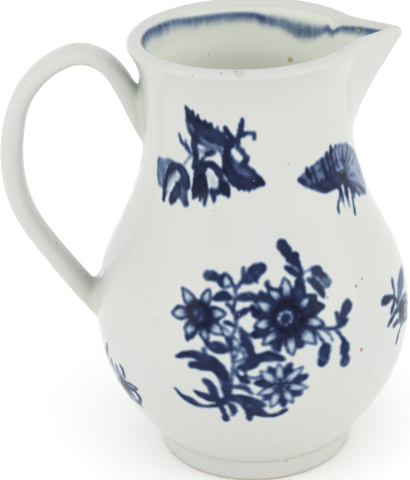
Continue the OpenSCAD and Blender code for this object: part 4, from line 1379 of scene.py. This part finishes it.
# Centre line of the strap in the plane of symmetry, (x, z), from the neck to the belly.
HANDLE_ROUTE = ((-17.4, 66.0), (-19.6, 70.5), (-22.2, 75.6), (-24.5, 80.6), (-27.3, 84.8),
                (-31.6, 86.8), (-37.2, 85.2), (-42.3, 80.4), (-45.7, 73.6), (-47.1, 66.0),
                (-46.7, 58.4), (-44.2, 50.8), (-40.0, 43.8), (-35.6, 37.2), (-30.9, 30.8),
                (-27.0, 25.6))
STRAP_SIDES = 72
RING_SPACING = 0.5
ARCH_Z, ARCH_RUN = 79, 9           # height where the arch begins, and over how much it sets in
SHOULDER_Z, SHOULDER_RUN = 70, 9   # the same for the shoulders under the arch
LOWER_Z, LOWER_RUN = 58, 12        # the same for the lower stretch, downwards
SHOULDER_STRETCH, LOWER_STRETCH = 0.35, 0.4    # how far those two are stretched, next to the arch
SHOULDER_ASIDE, LOWER_ASIDE = 0.35, 0.3        # how far out and in of the route they run
FREE_GAP = 1.8                     # gap to the wall beyond which the strap is free of its slip
COLLAR_EVEN = 0.7                  # share of the collar's spread that is the same all round
UPPER_WEB, LOWER_WEB = 4.3, 6.4    # spread of the slip in each crotch, as a multiple of the collar
COLLAR_SUNK = 0.8                  # how deep the slip goes into the wall
STRAP_POOL = 0.30                  # how thickly the glaze pools at the ends of the strap


class Strap:
    """Rings of a rounded strap along the handle's route."""

    def __init__(self, settings):
        handle = settings.handle
        self.collar = handle.collar / MM
        line = smooth_path(HANDLE_ROUTE, RING_SPACING)
        along = unit(np.gradient(line, axis=0))
        middle = np.stack([line[:, 0], np.zeros(len(line)), line[:, 1]], -1)
        out = np.stack([along[:, 1], np.zeros(len(line)), -along[:, 0]], -1)
        angle = np.arange(STRAP_SIDES) / STRAP_SIDES * FULL_TURN
        square = handle.squareness
        u = np.sign(np.cos(angle)) * np.abs(np.cos(angle)) ** square
        v = np.sign(np.sin(angle)) * np.abs(np.sin(angle)) ** square
        across = np.array([0.0, 1.0, 0.0])
        dents = waves(middle[:, None, 0] * 0.22, v[None] * 1.3, middle[:, None, 2] * 0.22, 5)
        # The pulled strap is stretched thinner over its arch, and a little on its way down.
        height = line[:, 1]
        arch, low = ease((height - ARCH_Z) / ARCH_RUN), ease((LOWER_Z - height) / LOWER_RUN)
        shoulder = ease((height - SHOULDER_Z) / SHOULDER_RUN) * (1 - arch)
        stretched = arch + SHOULDER_STRETCH * shoulder + LOWER_STRETCH * low
        taper = (1 - handle.stretch * stretched)[:, None]
        aside = (SHOULDER_ASIDE * shoulder - LOWER_ASIDE * low)[:, None]
        half_t = handle.thickness / MM / 2 * taper + handle.unevenness / MM * dents
        half_w = handle.width / MM / 2 + handle.unevenness / MM * dents
        self.rings = (middle[:, None] + out[:, None] * (u[None] * half_t + aside)[..., None]
                      + across * (v[None] * half_w)[..., None])


def grid_normals(grid):
    """Normals of a grid of points that is closed across and open along."""
    across = np.roll(grid, -1, 1) - np.roll(grid, 1, 1)
    along = np.gradient(grid, axis=0)
    return unit(np.cross(across, along))


def tube_faces(rows, sides, start=0):
    faces = []
    for r in range(rows - 1):
        for i in range(sides):
            a, b = start + r * sides + i, start + r * sides + (i + 1) % sides
            faces.append([a, b, b + sides, a + sides])
    return faces


def gap_to_wall(form, points):
    """How far points lie outside the wall, measured level from the axis."""
    z = np.clip(points[..., 2], form.low, form.lip_z)
    return np.hypot(points[..., 0], points[..., 1]) - form.profile(z)


def on_wall(form, points):
    """The points moved level onto the wall."""
    z = np.clip(points[..., 2], form.low, form.lip_z)
    level = points[..., :2] / np.linalg.norm(points[..., :2], axis=-1, keepdims=True)
    azimuth = np.arctan2(points[..., 1], points[..., 0])
    return np.concatenate([level * form.outer(azimuth, z)[..., None], z[..., None]], -1)


def wall_normal(form, points):
    azimuth = np.arctan2(points[..., 1], points[..., 0])
    return form.normal(azimuth, form.station_outside(points[..., 2]))


def collar_grid(form, rings, spread_by):
    """Rows of points from a strap's last free ring down onto the wall, flared like squeezed slip.

    rings run from that free ring into the wall.
    """
    steps_down, steps_out = 10, 12
    gap = gap_to_wall(form, rings)
    sides = rings.shape[1]
    hits = np.empty((sides, 3))
    lines = []
    for i in range(sides):
        k = int(np.argmax(gap[:, i] < 0))
        share = gap[k - 1, i] / (gap[k - 1, i] - gap[k, i])
        hits[i] = rings[k - 1, i] * (1 - share) + rings[k, i] * share
        lines.append(np.concatenate([rings[:k, i], hits[i][None]]))
    middle = hits.mean(0)
    normal = wall_normal(form, hits)
    away = hits - middle
    away = unit(away - normal * (away * normal).sum(-1, keepdims=True))
    foot = on_wall(form, hits + away * spread_by[:, None])
    rows = np.empty((steps_down + steps_out + 1, sides, 3))
    for i, line in enumerate(lines):
        length = np.concatenate([[0], np.cumsum(np.linalg.norm(np.diff(line, axis=0), axis=1))])
        start = max(0.15 * length[-1], length[-1] - 1.5 * spread_by[i])
        wanted = np.linspace(0, start, steps_down + 1)
        for axis in range(3):
            rows[:steps_down + 1, i, axis] = np.interp(wanted, length, line[:, axis])
        t = np.linspace(0, 1, steps_out + 1)[1:, None]
        bend = (1 - t) ** 2 * rows[steps_down, i] + 2 * t * (1 - t) * hits[i] + t ** 2 * foot[i]
        rows[steps_down + 1:, i] = bend
    return rows


# ---- operators ---------------------------------------------------------------------


def jug_settings(context):
    return context.scene.cream_jug


# Holds the painted skin once it is made, so that the wall, beak and slip are cut from one.
SHARED = {}


def wall_skin(context):
    """The painted skin, made once and shared by the wall, beak and slip."""
    if "skin" not in SHARED:
        settings = jug_settings(context)
        form = Form(settings)
        skin = Skin(form)
        paint_jug(skin, settings)
        leaves = skin.split()
        SHARED["skin"] = (skin, leaves, used_corners(skin, leaves))
    return SHARED["skin"]


def wall_zone(skin, leaves):
    """0 for the wall, 1 for the seams of slip, 2 for the beak, for each leaf cell."""
    row, column, size = leaves.T
    turned = np.abs(np.degrees((column + size / 2) / skin.columns * FULL_TURN) - 180)
    station = (skin.stations[row] + skin.stations[row + size]) / 2
    marks = skin.marks
    band = (turned < BAND_OUTER) & (station > marks["low_out"]) & (station < marks["low_in"])
    beak = (turned < BAND_INNER) & (station > marks["top_out"]) & (station < marks["top_in"])
    return band.astype(int) + beak.astype(int)


class JUG_OT_body(bpy.types.Operator):
    """Make the thrown wall, floor and rim"""
    bl_idname = "jug.body"
    bl_label = "Body"

    def execute(self, context):
        skin, leaves, used = wall_skin(context)
        mine = leaves[wall_zone(skin, leaves) == 0]
        cuts = wall_cuts(skin, used, -BAND_OUTER, BAND_OUTER, "low_out", "low_in", False)
        piece = skin_piece("glazed_body", skin, mine, used, cuts, pooled_glaze(skin.form))
        hand_over(piece, shared_glaze(jug_settings(context)), "glazed_porcelain", "body")
        return {"FINISHED"}


class JUG_OT_beak(bpy.types.Operator):
    """Make the folded beak and the slip down its seams"""
    bl_idname = "jug.beak"
    bl_label = "Beak and its slip"

    def execute(self, context):
        skin, leaves, used = wall_skin(context)
        zone = wall_zone(skin, leaves)
        glaze = shared_glaze(jug_settings(context))
        pool = pooled_glaze(skin.form)
        inner = (-BAND_INNER, BAND_INNER, "top_out", "top_in")
        outer = (-BAND_OUTER, BAND_OUTER, "low_out", "low_in")
        beak = skin_piece("folded_beak", skin, leaves[zone == 2], used,
                          wall_cuts(skin, used, *inner, True), pool)
        hand_over(beak, glaze, "glazed_porcelain", "beak")
        cuts = wall_cuts(skin, used, *outer, True) + wall_cuts(skin, used, *inner, False)
        slip = skin_piece("beak_seam_slip", skin, leaves[zone == 1], used, cuts, pool)
        hand_over(slip, glaze, "luting_slip", "beak_slip")
        return {"FINISHED"}


BARE_HEIGHT = 0.2                  # height up to which the foot ring is bare clay


class JUG_OT_foot_ring(bpy.types.Operator):
    """Make the turned foot ring"""
    bl_idname = "jug.foot_ring"
    bl_label = "Foot ring"

    def execute(self, context):
        settings = jug_settings(context)
        foot = settings.foot
        top_z = settings.wall.foot_top / MM
        edge, top, land = foot.edge_radius / MM, foot.top_radius / MM, foot.land / MM
        # The outline runs round the resting edge, up the outside, over the top, which lies
        # against the underside, and down the flared inside.
        outside = [(edge + (top - edge) * (0.12 + 0.88 * t ** 1.25), 0.35 + (top_z - 0.75) * t)
                   for t in np.linspace(0, 1, 9)]
        outline = [(edge - 0.22, 0.0), (edge - 0.06, 0.05), (edge + 0.04, 0.18)] + outside
        outline += [(top - 0.1, top_z - 0.12), (top - 0.4, top_z + 0.02), (top - 2.6, top_z + 0.05),
                    (edge - 4.1, top_z - 0.1)]
        inner = [(edge - land - 0.12 - 2.2 * t ** 1.7, 0.15 + (top_z - 1.0) * t)
                 for t in np.linspace(0, 1, 8)][::-1]
        outline += inner + [(edge - land, 0.0), (edge - 0.22, 0.0)]
        profile = make_mesh("foot_outline", [(r, 0.0, z) for r, z in outline], [])
        material = foot_material(settings, BARE_HEIGHT)
        ring = grown(profile, turned_ring_tree(), {
            "Segments": foot.segments, "Outline Points": len(outline), "Glaze": material},
            "turned_foot_ring")
        heights = np.empty(len(ring.data.vertices) * 3)
        ring.data.vertices.foreach_get("co", heights)
        heights = heights[2::3] / MM
        pool = FOOT_POOL * np.exp(-((heights - top_z) / 1.2) ** 2)
        for key, values in (("cobalt", 0 * pool), ("pool", pool)):
            ring.data.attributes.new(key, "FLOAT", "POINT").data.foreach_set("value", values)
        hand_over(ring, material, "foot_porcelain", "foot_ring")
        return {"FINISHED"}


class JUG_OT_handle(bpy.types.Operator):
    """Make the pulled handle and the slip round both its ends"""
    bl_idname = "jug.handle"
    bl_label = "Handle and its slip"

    def execute(self, context):
        settings = jug_settings(context)
        form = Form(settings)
        strap = Strap(settings)
        free = (gap_to_wall(form, strap.rings) > FREE_GAP).all(1)
        first = int(np.argmax(free))
        last = len(free) - 1 - int(np.argmax(free[::-1]))
        glaze = shared_glaze(settings)
        rings = strap.rings[first:last + 1]
        count, sides = len(rings), STRAP_SIDES
        faces = tube_faces(count, sides)
        faces += [list(range(sides))[::-1], list(range((count - 1) * sides, count * sides))]
        points = rings.reshape(-1, 3)
        normals = grid_normals(strap.rings)[first:last + 1].reshape(-1, 3)
        from_end = np.minimum(np.arange(count), np.arange(count)[::-1]) * RING_SPACING
        pool = np.repeat(STRAP_POOL * np.exp(-(from_end / 3.0) ** 2), sides)
        handle = make_mesh("pulled_handle", points, faces, normals,
                           (("cobalt", 0 * pool), ("pool", pool)))
        hand_over(handle, glaze, "glazed_porcelain", "handle")

        for name, run, way, web, node in (
                ("upper_handle_collar", strap.rings[:first + 1][::-1], 1.0, UPPER_WEB,
                 "upper_handle_slip"),
                ("lower_handle_collar", strap.rings[last:], -1.0, LOWER_WEB,
                 "lower_handle_slip")):
            self.collar(name, form, run, way, strap.collar * web, strap, glaze, node)
        return {"FINISHED"}

    @staticmethod
    def collar(name, form, run, way, web, strap, glaze, node):
        """One pad of slip, from the strap's last free ring to its spread on the wall.

        It spreads further, by web, in the crotch between the strap and the wall. The way is
        1 for the end that is reached against the strap's own run, and -1 for the other.
        """
        sides = STRAP_SIDES
        outer_side = np.cos(np.arange(sides) / sides * FULL_TURN)
        crotch = (1 + outer_side * way) / 2
        spread_by = strap.collar * COLLAR_EVEN + web * crotch ** 2
        grid = collar_grid(form, run, spread_by)
        normals = grid_normals(grid) * (1 if way < 0 else -1)
        sunk = grid[-1] - wall_normal(form, grid[-1]) * COLLAR_SUNK
        rows = np.concatenate([grid, sunk[None]])
        normals = np.concatenate([normals, normals[-1:]])
        faces = tube_faces(len(rows), sides)
        faces += [list(range(sides))[::-1], list(range((len(rows) - 1) * sides, len(rows) * sides))]
        if way > 0:
            faces = [face[::-1] for face in faces]
        level = np.linspace(0, 1, len(rows)) ** 2
        pool = (STRAP_POOL + level[:, None] * (0.35 + 0.45 * crotch)).ravel()
        piece = make_mesh(name, rows.reshape(-1, 3), faces, normals.reshape(-1, 3),
                          (("cobalt", 0 * pool), ("pool", pool)))
        hand_over(piece, glaze, "luting_slip", node)


SPECK_RADIUS = 0.16
PER_SQUARE_METRE = 100.0           # square decimetres in a square metre


class JUG_OT_specks(bpy.types.Operator):
    """Scatter the burnt specks that stand in the glaze"""
    bl_idname = "jug.specks"
    bl_label = "Burnt specks"

    def execute(self, context):
        glaze = jug_settings(context).glaze
        material, tree, shader, node = new_material("burnt_speck")
        place = node("ShaderNodeTexCoord").outputs["Object"]
        tone = mixed(node, noise(node, place, 600.0), glaze.speck, glaze.bare)
        tree.links.new(tone, shader.inputs["Base Color"])
        shader.inputs["Roughness"].default_value = 0.3
        merged = bmesh.new()
        for name in ("glazed_body", "folded_beak", "pulled_handle"):
            merged.from_mesh(bpy.data.objects[name].data)
        base = bpy.data.meshes.new("speck_ground")
        merged.to_mesh(base)
        merged.free()
        ground = bpy.data.objects.new("speck_ground", base)
        context.scene.collection.objects.link(ground)
        specks = grown(ground, speck_tree(), {
            "Density": glaze.specks * PER_SQUARE_METRE, "Seed": glaze.seed, "Smallest": 0.25,
            "Largest": 1.0, "Speck Radius": SPECK_RADIUS * MM, "Material": material},
            "burnt_specks")
        hand_over(specks, material, "glazed_porcelain")
        return {"FINISHED"}


FLOOR_RADIUS, FLOOR_STEPS = 4000.0, 96
SOFTBOX_SIZE = 0.7                 # metres, as are the places of the lights
LEFT_SOFTBOX, RIGHT_SOFTBOX = (-0.85, -0.45, 0.35), (0.85, -0.45, 0.35)
LIT_HEIGHT = 45                    # height that the lights aim at


class JUG_OT_stage(bpy.types.Operator):
    """Set up the floor, the lights and the camera"""
    bl_idname = "jug.stage"
    bl_label = "Stage"

    def execute(self, context):
        stage = jug_settings(context).stage
        self.floor(stage)
        self.lights(context, stage)
        self.camera(context, stage)
        return {"FINISHED"}

    @staticmethod
    def floor(stage):
        ring = [(FLOOR_RADIUS * math.cos(a), FLOOR_RADIUS * math.sin(a), 0.0)
                for a in np.arange(FLOOR_STEPS) / FLOOR_STEPS * FULL_TURN]
        floor = make_mesh("floor", ring, [list(range(FLOOR_STEPS))])
        material, _, shader, _ = new_material("pale_floor")
        shader.inputs["Base Color"].default_value = solid(stage.floor)
        shader.inputs["Roughness"].default_value = 0.7
        floor.data.materials.append(material)

    @staticmethod
    def lights(context, stage):
        world = bpy.data.worlds.new("soft_surround")
        world.use_nodes = True
        background = world.node_tree.nodes["Background"]
        background.inputs["Color"].default_value = (1.0, 1.0, 1.0, 1.0)
        background.inputs["Strength"].default_value = stage.sky
        context.scene.world = world
        context.scene.view_settings.view_transform = "Standard"
        aim = Vector((0, 0, LIT_HEIGHT * MM))
        for name, place, watts in (("left_softbox", LEFT_SOFTBOX, stage.key),
                                   ("right_softbox", RIGHT_SOFTBOX, stage.fill)):
            light = bpy.data.lights.new(name, "AREA")
            light.size, light.energy = SOFTBOX_SIZE, watts
            lamp = bpy.data.objects.new(name, light)
            lamp.location = place
            lamp.rotation_euler = (aim - Vector(place)).to_track_quat("-Z", "Y").to_euler()
            context.scene.collection.objects.link(lamp)

    @staticmethod
    def camera(context, stage):
        lens = bpy.data.cameras.new("camera")
        lens.lens, lens.sensor_width, lens.sensor_fit = stage.lens, 36.0, "AUTO"
        lens.clip_start, lens.clip_end = 0.01, 50.0
        camera = bpy.data.objects.new("camera", lens)
        aim = Vector((stage.aim_x, 0, stage.aim_z))
        back = Vector((0, -math.cos(stage.elevation), math.sin(stage.elevation)))
        turn = back.to_track_quat("Z", "Y").to_matrix() @ Matrix.Rotation(stage.roll, 3, "Z")
        camera.matrix_world = Matrix.Translation(aim + back * stage.distance) @ turn.to_4x4()
        context.scene.collection.objects.link(camera)
        context.scene.camera = camera


class JUG_PT_panel(bpy.types.Panel):
    """The jug's pieces and their settings"""
    bl_idname = "JUG_PT_panel"
    bl_label = "Cream Jug"
    bl_space_type = "VIEW_3D"
    bl_region_type = "UI"
    bl_category = "Cream Jug"

    def draw(self, context):
        settings = jug_settings(context)
        for group, operators in PANEL_ROWS:
            box = self.layout.box()
            values = getattr(settings, group)
            box.label(text=group.replace("_", " ").capitalize())
            for key in values.__annotations__:
                box.prop(values, key)
            for operator in operators:
                box.operator(operator)


PANEL_ROWS = (("wall", ("jug.body",)), ("beak", ("jug.beak",)), ("foot", ("jug.foot_ring",)),
              ("handle", ("jug.handle",)), ("paint", ()), ("glaze", ("jug.specks",)),
              ("stage", ("jug.stage",)))
GROUPS = (JUG_PG_wall, JUG_PG_beak, JUG_PG_handle, JUG_PG_foot, JUG_PG_paint, JUG_PG_glaze,
          JUG_PG_stage, JUG_PG_settings)
OPERATORS = (JUG_OT_stage, JUG_OT_body, JUG_OT_beak, JUG_OT_foot_ring, JUG_OT_handle, JUG_OT_specks)


def register():
    for cls in GROUPS + OPERATORS + (JUG_PT_panel,):
        bpy.utils.register_class(cls)
    bpy.types.Scene.cream_jug = bpy.props.PointerProperty(type=JUG_PG_settings)


def unregister():
    del bpy.types.Scene.cream_jug
    for cls in reversed(GROUPS + OPERATORS + (JUG_PT_panel,)):
        bpy.utils.unregister_class(cls)


def main():
    register()
    for operator in OPERATORS:
        group, name = operator.bl_idname.split(".")
        getattr(getattr(bpy.ops, group), name)()


if __name__ == "__main__":
    main()
